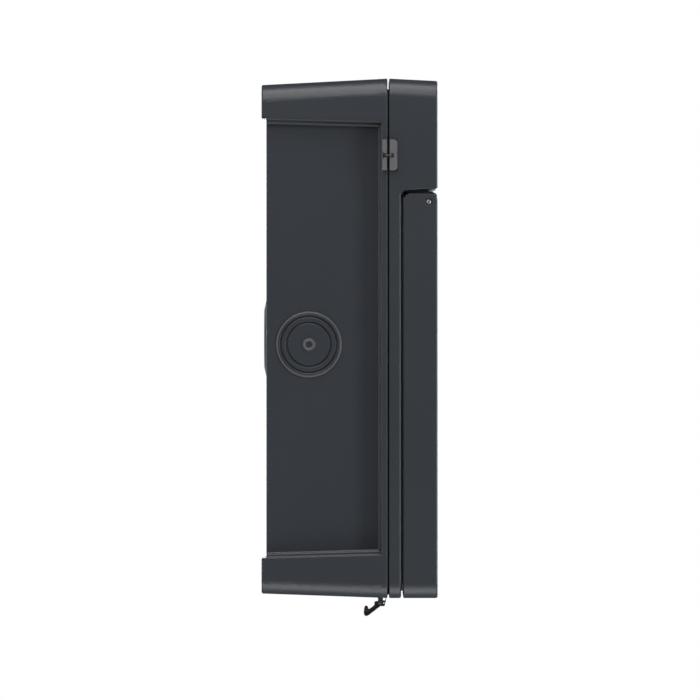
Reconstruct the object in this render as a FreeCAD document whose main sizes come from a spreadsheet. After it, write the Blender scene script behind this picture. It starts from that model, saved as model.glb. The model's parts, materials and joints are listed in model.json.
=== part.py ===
"""Surface-mounted video door station: wall box, front cover with a camera head, and a hinged lower flap.

Millimetres. The origin is the centre of the wall plane, +Z is up, +X runs across and the front faces -Y.
A "depth" is the distance out from the wall, so a depth of 20 lies at y = -20.
"""
import FreeCAD, Part
import Sketcher
import math
import os
import re

DIMENSIONS = {
    # the whole case
    "case_width": 120, "case_height": 236, "case_depth": 80, "wall": 2.4, "corner_radius": 8,
    # back box: a drafted tray whose rim faces the cover
    "box_rim": 57.2, "box_floor": 5, "top_draft": 2.9, "bottom_draft": 2, "side_draft": 2.6,
    "cavity_half_width": 50.4, "cavity_half_height": 109.3, "cavity_radius": 5,
    "band_edge": 99.7, "rear_relief": 2.2, "rear_edge_radius": 0.8,
    "step_front": 54.6, "step_half_height": 98.2, "step_plane": 56.4,
    "floor_front": 53.3, "floor_half_height": 96.4, "floor_plane": 53, "recess_flare": 1.5,
    "screw_pitch_x": 84, "screw_pitch_z": 206, "screw_hole_radius": 2.3, "screw_seal_radius": 4.6,
    "screw_seal_depth": 1.2,
    "membrane_hole": 15, "membrane_dome": 19, "membrane_rise": 1.3, "membrane_crown": 13,
    "membrane_flange": 18, "flange_thickness": 1.4,
    # knockouts on both flanks: M25 and M20 score lines around a drill pip
    "knockout_depth": 21.5, "knockout_drop": 2.8, "knockout_pad": 15, "knockout_land": 13.9,
    "knockout_rise": 0.35, "large_score": 12.75, "small_score": 10, "score_width": 0.9, "score_depth": 0.8,
    "pip_radius": 2.9, "pip_hole": 1.6, "pip_height": 0.5,
    # gasket between the two rims
    "gasket_inset": 4.9, "gasket_width": 2.4, "gasket_groove": 1.8,
    "stop_half_width": 5, "stop_low": -117.4, "stop_high": -113.7, "stop_play": 0.1,
    # front cover
    "cover_rear": 58, "panel_rear": 61, "panel_front": 63.4, "rim_half_width": 51,
    "head_bottom": 67.1, "head_bottom_rise": 0.9, "head_top_fall": 1.1, "head_concave": 2.9,
    "head_cavity_bottom": 70.5, "head_cavity_top": 114.4, "head_cavity_rear": 60.5, "front_edge": 0.9,
    # hinge
    "pin_depth": 75.9, "pin_height": 61.9, "pin_radius": 1.2, "pin_play": 0.1, "pin_sink": 0.4,
    "pin_socket": 0.6, "pin_socket_depth": 1.2, "counterbore": 1.7, "counterbore_depth": 0.8,
    "lug_inner": 50.5, "lug_outer": 55.5, "lug_radius": 2.3, "lug_arm_bottom": 48.5,
    "lug_web_front": 65.6, "web_arch": 4.4, "notch_play": 1, "notch_forward": 5, "lug_clearance": 0.4,
    # drip rib around the panel, which the flap's walls close over
    "rib_outer": 56.4, "rib_inner": 55.2, "rib_low": -114.6, "rib_thickness": 1.2, "rib_top": 49,
    "rib_front": 65.4, "rib_cut": 3, "rib_inner_cut": 2.3,
    # flap
    "flap_rear": 64.4, "flap_top": 65.6, "flap_top_rear_radius": 2.6, "flap_chamfer_depth": 1.4,
    "flap_chamfer_drop": 2.4, "flap_inner_radius": 6,
    "brow_half_width": 49, "brow_rear": 73.5, "brow_front": 79.8, "brow_top": 66.8, "brow_low": 62.8,
    # seal lugs across the parting line
    "lug_bottom": 76.2, "lug_top": 90.2, "lug_base": 58.8, "lug_proud": 1.6, "lug_hole_height": 83,
    "lug_hole": 1.7, "box_lug_rear": 54.8, "box_lug_front": 57, "box_lug_hole": 55.9,
    "cover_lug_rear": 58.2, "cover_lug_front": 61.7, "cover_lug_hole": 59.5, "cover_lug_radius": 1.5,
    "lug_gap": 2.2, "lug_neck": 1, "link_radius": 0.4, "link_plane": 62.5,
    # catch under the box
    "catch_depth": 54.05, "catch_height": -121.35, "catch_pin_radius": 0.6, "cheek_inner": 3.4,
    "cheek_outer": 4.6, "cheek_rear": 53, "cheek_front": 57.2, "cheek_bottom": -122.6,
    "catch_play": 0.2, "knuckle_radius": 1.3, "nub_radius": 0.9, "nub_depth": 52.2,
    "lever_reach": 7.6, "lever_drop": 5.9, "lever_tip": 2.2,
    "lever_hook": 4.8, "lever_web": 2.7, "lever_half": 0.65,
    # camera window, camera and sensors in the head
    "window_height": 95, "window_half_width": 47, "window_half_height": 14, "window_radius": 4,
    "window_seat": 78.6, "window_front": 79.8, "window_border": 3, "lens_hole": 9.6, "lens_radius": 7.2,
    "lens_rear": 75, "lens_front": 79.5, "lens_curve": 14, "bezel_flange": 11, "bezel_rear": 77.4,
    "barrel_radius": 6.6, "barrel_foot": 9, "barrel_foot_height": 3,
    "camera_board_rear": 62.5, "camera_board_front": 64.1, "camera_board_half_width": 50,
    "camera_board_bottom": 71.6, "camera_board_top": 105, "camera_post_x": 47.5,
    "camera_post_low": 76, "camera_post_high": 101, "post_radius": 2.3,
    "diode_radius": 2.5, "diode_front": 72, "diode_first": 20, "diode_pitch": 7,
    "sensor_height": 74.5, "motion_half_width": 10, "motion_half_height": 3.4, "motion_flange": 1.2,
    "motion_sensor_radius": 4.6, "motion_sensor_front": 70,
    "mic_x": 24, "mic_hole": 0.8, "mic_radius": 3, "mic_rear": 72, "mic_front": 76, "boot_radius": 3.9,
    "flex_left": 10, "flex_right": 22, "flex_thickness": 0.4, "flex_top": 92, "flex_bend": 76,
    "flex_lap": 5,
    # main board on the back of the cover
    "board_rear": 53, "board_front": 54.6, "board_half_width": 44, "board_bottom": -22, "board_top": 60,
    "board_post_x": 40, "board_post_low": -18, "board_post_high": 56,
    "small_screw_radius": 1.2, "small_head_radius": 2.4, "small_head_height": 1.8, "small_screw_grip": 4,
    "shield_half_width": 20, "shield_bottom": 18, "shield_top": 50, "shield_height": 2.8,
    # bell button, its lit ring and its board
    "bell_height": 2, "ring_board_radius": 22, "ring_board_rear": 58.4, "ring_board_front": 59.6,
    "ring_diode_radius": 18.9, "ring_diode_size": 2.6, "ring_diode_height": 1, "hall_size": 4,
    "lit_disc_radius": 20.3, "guide_outer": 20.5, "guide_inner": 17.3, "guide_rear": 65.4,
    "guide_front": 79.6, "guide_flange": 24, "guide_flange_height": 1.4,
    "carrier_rear": 69, "carrier_front": 71, "rod_play": 0.3,
    "cap_radius": 17, "cap_rear": 76, "cap_front": 79.4, "rod_radius": 3, "rod_end": 66.5,
    "magnet_radius": 2, "magnet_length": 2.5, "clip_radius": 5.2, "clip_rear": 67.6, "clip_front": 68.8,
    "spring_inner": 4.6, "spring_outer": 6,
    # speaker
    "speaker_height": -48, "speaker_radius": 20, "speaker_rear": 56, "speaker_front": 60.5,
    "speaker_cone_radius": 16, "speaker_magnet_radius": 11, "speaker_magnet_rear": 46,
    "panel_hole_radius": 1.3, "panel_hole_pitch": 6, "slot_half_width": 22, "slot_height": 2.2,
    "slot_pitch": 5, "slot_count": 7, "mesh_thickness": 0.5, "mesh_margin": 3,
    # power and wiring
    "supply_half_width": 38, "supply_bottom": -100, "supply_top": -40, "supply_front": 32,
    "terminal_half_width": 28, "terminal_bottom": 34, "terminal_top": 48, "terminal_front": 21,
    "terminal_ways": 6, "terminal_well": 4, "battery_half_width": 36, "battery_bottom": 60, "battery_top": 96,
    "battery_front": 23, "strap_half_height": 7, "strap_thickness": 1, "strap_foot": 8,
    # fixings and service parts on the panel
    "cover_screw_x": 30, "cover_screw_z": -104.5, "cover_screw_radius": 2, "cover_head_radius": 3.6,
    "cover_head_height": 2, "cover_screw_end": 46, "boss_radius": 4.2, "boss_front": 56,
    "reset_x": 32, "reset_z": 32, "reset_radius": 2.2, "reset_play": 0.3, "reset_rear": 58.9,
    "reset_front": 63, "reset_flange": 3.2, "reset_flange_height": 1, "reset_switch_front": 58,
    "reset_switch_half": 3,
    "service_x": -32, "service_z": 32, "service_half_width": 6, "service_half_height": 3,
    "service_lip": 1.4, "service_lip_height": 1,
    # name plate
    "name_height": 45, "name_half_width": 32, "name_half_height": 7, "name_seat": 78.4, "name_front": 79.8,
    "name_radius": 1.6, "card_thickness": 0.4,
    # lock and its keeper
    "lock_height": -96, "lock_radius": 7, "lock_bezel": 10.3, "lock_seat": 78.6, "lock_front": 79.8,
    "lock_rear": 67.4, "plug_radius": 4, "plug_play": 0.3, "plug_front": 79.4, "nut_radius": 10.5,
    "nut_rear": 74.9, "key_slot_half_width": 0.6, "key_slot_half_height": 2.8, "key_slot_depth": 4,
    "cam_rear": 65.4, "cam_front": 67.2, "cam_half_width": 3.5, "cam_reach": 16, "cam_hub": 5,
    "cam_screw_head": 2.4, "cam_screw_rear": 64.5, "cam_screw_grip": 3, "cam_screw_radius": 1.1,
    "keeper_half_width": 7, "keeper_top": -62, "keeper_web_top": -74.4, "keeper_web_bottom": -76,
    "keeper_lip_end": -84, "keeper_base": 65, "keeper_lip_rear": 68, "keeper_lip_front": 69.6,
    "keeper_screw_x": 3.8, "keeper_screw_z": -67,
}

doc = FreeCAD.newDocument("door_station")
sheet = doc.addObject("Spreadsheet::Sheet", "dims")
pieces = []


# ---------------------------------------------------------------- the sheet and its formulas

def fill_sheet():
    """One row for each driving dimension: its name and its value, which carries the alias."""
    for row, (name, value) in enumerate(DIMENSIONS.items(), start=1):
        sheet.set(f"A{row}", name)
        sheet.set(f"B{row}", str(value))
        sheet.setAlias(f"B{row}", name)
    doc.recompute()


def formula(text):
    """The text of a formula, with the sheet's name put before each alias."""
    def named(match):
        word = match.group()
        return f"dims.{word}" if word in DIMENSIONS else word
    return re.sub(r"[a-z][a-z_0-9]*", named, str(text))


def value(text):
    """What a formula comes to now, for the first drawing of a sketch."""
    return float(sheet.evalExpression(formula(text)))


def bind(item, **formulas):
    """Ties properties to formulas. Two underscores stand for the dot of a sub-property."""
    for name, text in formulas.items():
        item.setExpression(name.replace("__", "."), formula(text))


def keep(item, label):
    """Marks a finished piece, which is written to a file of its own."""
    item.Label = label
    pieces.append(item)
    return item


# ---------------------------------------------------------------- solids made from primitives

def block(name, x, depth, z):
    """A box between two places across, two depths and two heights."""
    box = doc.addObject("Part::Box", name)
    bind(box, Length=f"({x[1]}) - ({x[0]})", Width=f"({depth[1]}) - ({depth[0]})",
         Height=f"({z[1]}) - ({z[0]})")
    bind(box, Placement__Base__x=x[0], Placement__Base__y=f"-({depth[1]})", Placement__Base__z=z[0])
    return box


def disc(name, radius, depth, at=("0", "0")):
    """A cylinder that runs out from the wall, at a place across and a height."""
    rod = doc.addObject("Part::Cylinder", name)
    rod.Placement.Rotation = FreeCAD.Rotation(FreeCAD.Vector(1, 0, 0), 90)
    bind(rod, Radius=radius, Height=f"({depth[1]}) - ({depth[0]})")
    bind(rod, Placement__Base__x=at[0], Placement__Base__y=f"-({depth[0]})", Placement__Base__z=at[1])
    return rod


def axle(name, radius, x, at):
    """A cylinder that runs across, at a depth and a height."""
    rod = doc.addObject("Part::Cylinder", name)
    rod.Placement.Rotation = FreeCAD.Rotation(FreeCAD.Vector(0, 1, 0), 90)
    bind(rod, Radius=radius, Height=f"({x[1]}) - ({x[0]})")
    bind(rod, Placement__Base__x=x[0], Placement__Base__y=f"-({at[0]})", Placement__Base__z=at[1])
    return rod


def joined(name, *parts):
    """The union of parts that touch."""
    union = doc.addObject("Part::MultiFuse", name)
    union.Shapes = list(parts)
    return union


def group(name, *parts):
    """Separate solids that share one node."""
    compound = doc.addObject("Part::Compound", name)
    compound.Links = list(parts)
    return compound


def less(name, base, *tools):
    """A base with tools cut out of it."""
    cut = doc.addObject("Part::Cut", name)
    cut.Base = base
    cut.Tool = tools[0] if len(tools) == 1 else group(name + "_tools", *tools)
    return cut


# ---------------------------------------------------------------- bodies made from sketches

def new_body(name):
    return doc.addObject("PartDesign::Body", name)


def sketch_on(body, name, role, offset="0"):
    """A sketch on one of the body's own planes, moved along its normal by the offset."""
    sketch = body.newObject("Sketcher::SketchObject", name)
    plane = next(item for item in body.Origin.OriginFeatures if item.Role == role)
    sketch.AttachmentSupport = [(plane, "")]
    sketch.MapMode = "FlatFace"
    bind(sketch, AttachmentOffset__Base__z=offset)
    return sketch


def front_sketch(body, name, depth="0"):
    """A sketch seen from the front, at a depth: its axes are across and up."""
    return sketch_on(body, name, "XZ_Plane", depth)


def side_sketch(body, name, across="0"):
    """A sketch seen from the side, at a place across. Its first axis points at the wall."""
    return sketch_on(body, name, "YZ_Plane", across)


def place_point(sketch, curve, point, x, y):
    """Holds one point of a curve at two formulas from the sketch's origin."""
    for kind, text in (("DistanceX", x), ("DistanceY", y)):
        index = sketch.addConstraint(Sketcher.Constraint(kind, -1, 1, curve, point, value(text)))
        sketch.setExpression(f"Constraints[{index}]", formula(text))


def outline(sketch, points):
    """A closed outline of straight lines through points given as formulas."""
    corners = [FreeCAD.Vector(value(x), value(y), 0) for x, y in points]
    first = sketch.GeometryCount
    for start, end in zip(corners, corners[1:] + corners[:1]):
        sketch.addGeometry(Part.LineSegment(start, end))
    count = len(points)
    for index, (x, y) in enumerate(points):
        following = first + (index + 1) % count
        sketch.addConstraint(Sketcher.Constraint("Coincident", first + index, 2, following, 1))
        place_point(sketch, first + index, 1, x, y)


def side_outline(sketch, points):
    """An outline through points given as a depth and a height."""
    outline(sketch, [(f"-({depth})", z) for depth, z in points])


def rectangle(sketch, x, z):
    outline(sketch, [(x[0], z[0]), (x[1], z[0]), (x[1], z[1]), (x[0], z[1])])


def circle(sketch, radius, at):
    """A circle about a point given as formulas."""
    centre = FreeCAD.Vector(value(at[0]), value(at[1]), 0)
    index = sketch.addGeometry(Part.Circle(centre, FreeCAD.Vector(0, 0, 1), value(radius)))
    place_point(sketch, index, 3, *at)
    size = sketch.addConstraint(Sketcher.Constraint("Radius", index, value(radius)))
    sketch.setExpression(f"Constraints[{size}]", formula(radius))


def feature(body, kind, sketch, length, reversed_way):
    """A pad or a pocket, which has to change the body's volume."""
    before = body.Shape.Volume if body.Tip else 0
    item = body.newObject(f"PartDesign::{kind}", f"{sketch.Name}_{kind.lower()}")
    item.Profile = sketch
    item.Reversed = reversed_way
    bind(item, Length=length)
    doc.recompute()
    change = body.Shape.Volume - before
    if (change if kind == "Pad" else -change) <= 0:
        raise RuntimeError(f"{item.Name} changes nothing")
    return item


def pad(body, sketch, length, reversed_way=False):
    return feature(body, "Pad", sketch, length, reversed_way)


def pocket(body, sketch, length, reversed_way=True):
    """Cuts along the sketch's normal, which is out from the wall or towards +X."""
    return feature(body, "Pocket", sketch, length, reversed_way)


def picked(body, axis, test):
    """Names of the edges that run mostly along one axis and whose middle passes a test."""
    doc.recompute()
    names = []
    for number, edge in enumerate(body.Shape.Edges, start=1):
        ends = [vertex.Point for vertex in edge.Vertexes]
        if len(ends) < 2:
            continue
        run = ends[1] - ends[0]
        along = {"x": abs(run.x), "y": abs(run.y), "z": abs(run.z)}
        middle = (ends[0] + ends[1]) / 2
        straight = max(along.values()) > 0.9 * run.Length and run.Length > 0.01
        if straight and max(along, key=along.get) == axis and test(middle.x, -middle.y, middle.z):
            names.append(f"Edge{number}")
    return names


def soften(body, kind, size, axis, test):
    """A fillet or a chamfer on the picked edges."""
    names = picked(body, axis, test)
    if not names:
        raise RuntimeError(f"{body.Name}: no edge to soften along {axis}")
    item = body.newObject(f"PartDesign::{kind}", f"{body.Name}_{kind.lower()}")
    item.Base = (item.BaseFeature or body.Tip, names)
    bind(item, **{"Radius" if kind == "Fillet" else "Size": size})
    doc.recompute()
    if "Invalid" in item.State:
        raise RuntimeError(f"{item.Name} failed")
    return item


def near(a, text, slack=0.6):
    """Whether a length lies close to a formula."""
    return abs(a - value(text)) < slack


# ---------------------------------------------------------------- wall box

HALF_WIDTH = "case_width / 2"
HALF_HEIGHT = "case_height / 2"
LEFT_AND_RIGHT = (("left", "-1"), ("right", "1"))


def rear_recess(body):
    """The middle of the back stands off the wall, so only a band at each end touches it."""
    sketch = front_sketch(body, "rear_relief_outline")
    rectangle(sketch, ("-case_width", "case_width"), ("-band_edge", "band_edge"))
    pocket(body, sketch, "rear_relief")


def flank_recess(body, side):
    """A stepped recess in one flank, open to the back and narrowing towards the front."""
    outward = side == "1"
    for step, plane, front, half in (("step", "step_plane", "step_front", "step_half_height"),
                                     ("floor", "floor_plane", "floor_front", "floor_half_height")):
        sketch = side_sketch(body, f"{step}_outline", f"{side} * {plane}")
        rear = f"{half} + recess_flare"
        side_outline(sketch, [(front, f"-{half}"), (front, half), ("-recess_flare", rear),
                              ("-recess_flare", f"-({rear})")])
        pocket(body, sketch, HALF_WIDTH, outward)


def knockout(body, side):
    """A raised pad with two round score lines for cable entries, and a pip for the drill."""
    outward = side == "1"
    at = ("-knockout_depth", "-knockout_drop")
    levels = (("pad", "knockout_pad", "knockout_rise"), ("land", "knockout_land", "2 * knockout_rise"))
    for name, radius, rise in levels:
        raised = side_sketch(body, f"knockout_{name}_circle", f"{side} * floor_plane")
        circle(raised, radius, at)
        pad(body, raised, rise, not outward)
    face = f"{side} * (floor_plane + 2 * knockout_rise)"
    for name, radius in (("large_score", "large_score"), ("small_score", "small_score")):
        score = side_sketch(body, name, face)
        circle(score, f"{radius} + score_width / 2", at)
        circle(score, f"{radius} - score_width / 2", at)
        pocket(body, score, "score_depth", not outward)
    pip = side_sketch(body, "drill_pip", face)
    circle(pip, "pip_radius", at)
    circle(pip, "pip_hole", at)
    pad(body, pip, "pip_height", not outward)


def catch_cheek(body, side):
    """One of the two cheeks under the box that carry the catch, with its two windows."""
    plane = "cheek_inner" if side == "1" else "-cheek_outer"
    cheek = side_sketch(body, "cheek_outline", plane)
    side_outline(cheek, [("cheek_rear", "-case_height / 2 + 2"), ("cheek_front", "-case_height / 2 + 2"),
                         ("cheek_front - 0.1", "-case_height / 2"), ("cheek_front - 1.2", "cheek_bottom"),
                         ("cheek_rear + 0.8", "cheek_bottom"), ("cheek_rear", "cheek_bottom + 0.8")])
    pad(body, cheek, "cheek_outer - cheek_inner")
    windows = (("upper_window", 2.3, 3.5, 2.5, 4.3), ("lower_window", 2.4, 3.1, 0.7, 1.6))
    for name, rear, front, low, high in windows:
        window = side_sketch(body, name, plane)
        side_outline(window, [(f"cheek_rear + {rear}", f"cheek_bottom + {low}"),
                              (f"cheek_rear + {front}", f"cheek_bottom + {low}"),
                              (f"cheek_rear + {front}", f"cheek_bottom + {high}"),
                              (f"cheek_rear + {rear}", f"cheek_bottom + {high}")])
        pocket(body, window, "cheek_outer - cheek_inner")
    bore = side_sketch(body, "catch_bore", plane)
    circle(bore, "catch_pin_radius", ("-catch_depth", "catch_height"))
    pocket(body, bore, "cheek_outer - cheek_inner")


def four_places(half_x, half_z):
    """The four corners of an upright rectangle about the origin, as formulas."""
    return [(f"{x} * ({half_x})", f"{z} * ({half_z})") for x in ("-1", "1") for z in ("-1", "1")]


def make_back_box():
    body = new_body("back_box")
    rear = front_sketch(body, "rear_outline")
    rectangle(rear, (f"side_draft - {HALF_WIDTH}", f"{HALF_WIDTH} - side_draft"),
              (f"bottom_draft - {HALF_HEIGHT}", f"{HALF_HEIGHT} - top_draft"))
    rim = front_sketch(body, "rim_outline", "box_rim")
    rectangle(rim, (f"-{HALF_WIDTH}", HALF_WIDTH), (f"-{HALF_HEIGHT}", HALF_HEIGHT))
    shell = body.newObject("PartDesign::AdditiveLoft", "drafted_shell")
    shell.Profile = rear
    shell.Sections = [rim]
    shell.Ruled = True
    doc.recompute()
    soften(body, "Fillet", "corner_radius", "y", lambda x, depth, z: abs(z) > 100)
    soften(body, "Fillet", "rear_edge_radius", "x", lambda x, depth, z: depth < 1)
    rear_recess(body)
    for name, side in LEFT_AND_RIGHT:
        flank_recess(body, side)
    for name, side in LEFT_AND_RIGHT:
        knockout(body, side)
    cavity = front_sketch(body, "cavity_outline", "box_floor")
    rectangle(cavity, ("-cavity_half_width", "cavity_half_width"),
              ("-cavity_half_height", "cavity_half_height"))
    pocket(body, cavity, "box_rim")
    soften(body, "Fillet", "cavity_radius", "y",
           lambda x, depth, z: near(abs(x), "cavity_half_width") and near(abs(z), "cavity_half_height"))
    groove = front_sketch(body, "gasket_groove", "box_rim - gasket_groove")
    for inset in ("gasket_inset", "gasket_inset + gasket_width"):
        rectangle(groove, (f"{inset} - {HALF_WIDTH}", f"{HALF_WIDTH} - ({inset})"),
                  (f"{inset} - {HALF_HEIGHT}", f"{HALF_HEIGHT} - ({inset})"))
    pocket(body, groove, "case_depth")
    holes = front_sketch(body, "fixing_holes")
    for place in four_places("screw_pitch_x / 2", "screw_pitch_z / 2"):
        circle(holes, "screw_hole_radius", place)
    pocket(body, holes, "box_floor")
    entry = front_sketch(body, "rear_entry")
    circle(entry, "membrane_hole", ("0", "0"))
    pocket(body, entry, "box_floor")
    bosses = front_sketch(body, "screw_bosses", "box_floor")
    for side in ("-1", "1"):
        circle(bosses, "boss_radius", (f"{side} * cover_screw_x", "cover_screw_z"))
    pad(body, bosses, "boss_front - box_floor")
    threads = front_sketch(body, "boss_threads", "cover_screw_end")
    for side in ("-1", "1"):
        circle(threads, "cover_screw_radius", (f"{side} * cover_screw_x", "cover_screw_z"))
    pocket(body, threads, "case_depth")
    stop = front_sketch(body, "rim_stop", "box_rim")
    rectangle(stop, ("-stop_half_width", "stop_half_width"), ("stop_low", "stop_high"))
    pad(body, stop, "cover_rear - box_rim - stop_play")
    for name, side in LEFT_AND_RIGHT:
        seat = side_sketch(body, "lug_seat", f"{side} * lug_base")
        side_outline(seat, [("step_front - 1", "lug_bottom"), ("box_rim + 1", "lug_bottom"),
                            ("box_rim + 1", "lug_top"), ("step_front - 1", "lug_top")])
        pocket(body, seat, HALF_WIDTH, side == "1")
        catch_cheek(body, side)
    return keep(body, "back_box")


def make_rear_entry():
    """A rubber plug in the entry hole, domed a little towards the wall."""
    plug = disc("membrane_plug", "membrane_hole", ("rear_relief", "box_floor"))
    flange = disc("membrane_flange_disc", "membrane_flange", ("box_floor", "box_floor + flange_thickness"))
    dome = doc.addObject("Part::Cone", "membrane_dome_solid")
    dome.Placement.Rotation = FreeCAD.Rotation(FreeCAD.Vector(1, 0, 0), 90)
    bind(dome, Radius1="membrane_crown", Radius2="membrane_dome", Height="membrane_rise",
         Placement__Base__y="membrane_rise - rear_relief")
    keep(joined("rear_membrane_solid", plug, flange, dome), "rear_membrane")


def make_screw_hole_seals():
    seals = []
    for index, place in enumerate(four_places("screw_pitch_x / 2", "screw_pitch_z / 2")):
        depth = ("box_floor", "box_floor + screw_seal_depth")
        outer = disc(f"seal_outer_{index}", "screw_seal_radius", depth, place)
        inner = disc(f"seal_inner_{index}", "screw_hole_radius", depth, place)
        seals.append(less(f"seal_ring_{index}", outer, inner))
    keep(group("screw_seals", *seals), "screw_hole_seals")


# ---------------------------------------------------------------- cover and its gasket

def make_gasket():
    body = new_body("cover_gasket")
    ring = front_sketch(body, "gasket_ring", "box_rim - gasket_groove")
    for inset in ("gasket_inset", "gasket_inset + gasket_width"):
        rectangle(ring, (f"{inset} - {HALF_WIDTH}", f"{HALF_WIDTH} - ({inset})"),
                  (f"{inset} - {HALF_HEIGHT}", f"{HALF_HEIGHT} - ({inset})"))
    pad(body, ring, "cover_rear - box_rim + gasket_groove")
    keep(body, "cover_gasket")


def arch_points():
    """The underside of a lug's web, which arches over the flap's swinging edge."""
    points = []
    for angle in (150, 120, 90):
        out = math.cos(math.radians(angle))
        up = math.sin(math.radians(angle))
        points.append((f"pin_depth + {out:.4f} * web_arch", f"pin_height + {up:.4f} * web_arch"))
    return points


def hinge_lugs(body):
    """Two arms that carry the hinge pins in front of the panel, each with a web up to the head."""
    for side, start in (("-1", "-lug_outer"), ("1", "lug_inner")):
        arm = side_sketch(body, "lug_arm", start)
        side_outline(arm, [("panel_front - 1", "lug_arm_bottom"), ("lug_web_front", "lug_arm_bottom"),
                           ("pin_depth", "pin_height - lug_radius"), ("pin_depth", "pin_height + 0.6"),
                           ("pin_depth - web_arch", "pin_height + 0.6"), *arch_points(),
                           ("pin_depth", "head_bottom + 1.8"), ("panel_front - 1", "head_bottom + 1")])
        pad(body, arm, "lug_outer - lug_inner")
        eye = side_sketch(body, "lug_eye", start)
        circle(eye, "lug_radius", ("-pin_depth", "pin_height"))
        pad(body, eye, "lug_outer - lug_inner")
        bore = side_sketch(body, "lug_bore", start)
        circle(bore, "pin_radius", ("-pin_depth", "pin_height"))
        pocket(body, bore, "lug_outer - lug_inner")


def drip_rib(body):
    """A low rib round three sides of the panel, just inside the walls of the closed flap."""
    rib = front_sketch(body, "drip_rib", "panel_front")
    sill = "rib_low + rib_thickness"
    outline(rib, [("-rib_outer", "rib_top"), ("-rib_outer", "rib_low + rib_cut"),
                  ("rib_cut - rib_outer", "rib_low"), ("rib_outer - rib_cut", "rib_low"),
                  ("rib_outer", "rib_low + rib_cut"), ("rib_outer", "rib_top"), ("rib_inner", "rib_top"),
                  ("rib_inner", f"{sill} + rib_inner_cut"), ("rib_inner - rib_inner_cut", sill),
                  ("rib_inner_cut - rib_inner", sill), ("-rib_inner", f"{sill} + rib_inner_cut"),
                  ("-rib_inner", "rib_top")])
    pad(body, rib, "rib_front - panel_front")


def front_openings(body):
    """The window seat and the small openings in the front wall of the head."""
    window_z = ("window_height - window_half_height", "window_height + window_half_height")
    seat = front_sketch(body, "window_seat", "window_seat")
    rectangle(seat, ("-window_half_width", "window_half_width"), window_z)
    pocket(body, seat, "case_depth")
    soften(body, "Fillet", "window_radius", "y",
           lambda x, depth, z: near(abs(x), "window_half_width") and depth > 78)
    light = front_sketch(body, "window_light", "case_depth - wall - 1")
    rectangle(light, ("window_border - window_half_width", "window_half_width - window_border"),
              (f"{window_z[0]} + window_border", f"{window_z[1]} - window_border"))
    pocket(body, light, "case_depth")
    motion = front_sketch(body, "motion_opening", "case_depth - wall - 1")
    rectangle(motion, ("-motion_half_width", "motion_half_width"),
              ("sensor_height - motion_half_height", "sensor_height + motion_half_height"))
    pocket(body, motion, "case_depth")
    sound = front_sketch(body, "microphone_hole", "case_depth - wall - 1")
    circle(sound, "mic_hole", ("mic_x", "sensor_height"))
    pocket(body, sound, "case_depth")


def hexagon_places(rings):
    """Steps of a hexagonal pattern: a centre and whole rings around it."""
    places = [(0, 0)]
    for ring in range(1, rings + 1):
        for index in range(6 * ring):
            corner, along = divmod(index, ring)
            start = math.radians(60 * corner)
            finish = math.radians(60 * corner + 60)
            share = along / ring
            x = ring * ((1 - share) * math.cos(start) + share * math.cos(finish))
            z = ring * ((1 - share) * math.sin(start) + share * math.sin(finish))
            places.append((round(x, 4), round(z, 4)))
    return places


def panel_openings(body):
    """Everything that passes through the panel behind the flap."""
    lit = front_sketch(body, "lit_disc_hole", "panel_rear - 1")
    circle(lit, "lit_disc_radius", ("0", "bell_height"))
    pocket(body, lit, "wall + 2")
    sound = front_sketch(body, "speaker_holes", "panel_rear - 1")
    for x, z in hexagon_places(2):
        place = (f"{x} * panel_hole_pitch", f"speaker_height + {z} * panel_hole_pitch")
        circle(sound, "panel_hole_radius", place)
    pocket(body, sound, "wall + 2")
    small = front_sketch(body, "service_holes", "panel_rear - 1")
    circle(small, "reset_radius + reset_play", ("reset_x", "reset_z"))
    rectangle(small, ("service_x - service_half_width", "service_x + service_half_width"),
              ("service_z - service_half_height", "service_z + service_half_height"))
    for side in ("-1", "1"):
        circle(small, "cover_screw_radius", (f"{side} * cover_screw_x", "cover_screw_z"))
        circle(small, "small_screw_radius", (f"{side} * keeper_screw_x", "keeper_screw_z"))
    pocket(body, small, "wall + 2")


def board_posts(body):
    """Posts on the back of the cover that the two boards are screwed to."""
    boards = (("main", "board_front", "panel_rear", "board_post_x", "board_post_low", "board_post_high"),
              ("camera", "camera_board_front", "case_depth - wall", "camera_post_x", "camera_post_low",
               "camera_post_high"))
    for name, rear, front, x, low, high in boards:
        posts = front_sketch(body, f"{name}_posts", rear)
        for side in ("-1", "1"):
            for z in (low, high):
                circle(posts, "post_radius", (f"{side} * {x}", z))
                circle(posts, "small_screw_radius", (f"{side} * {x}", z))
        pad(body, posts, f"{front} - {rear} + 0.5")


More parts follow.
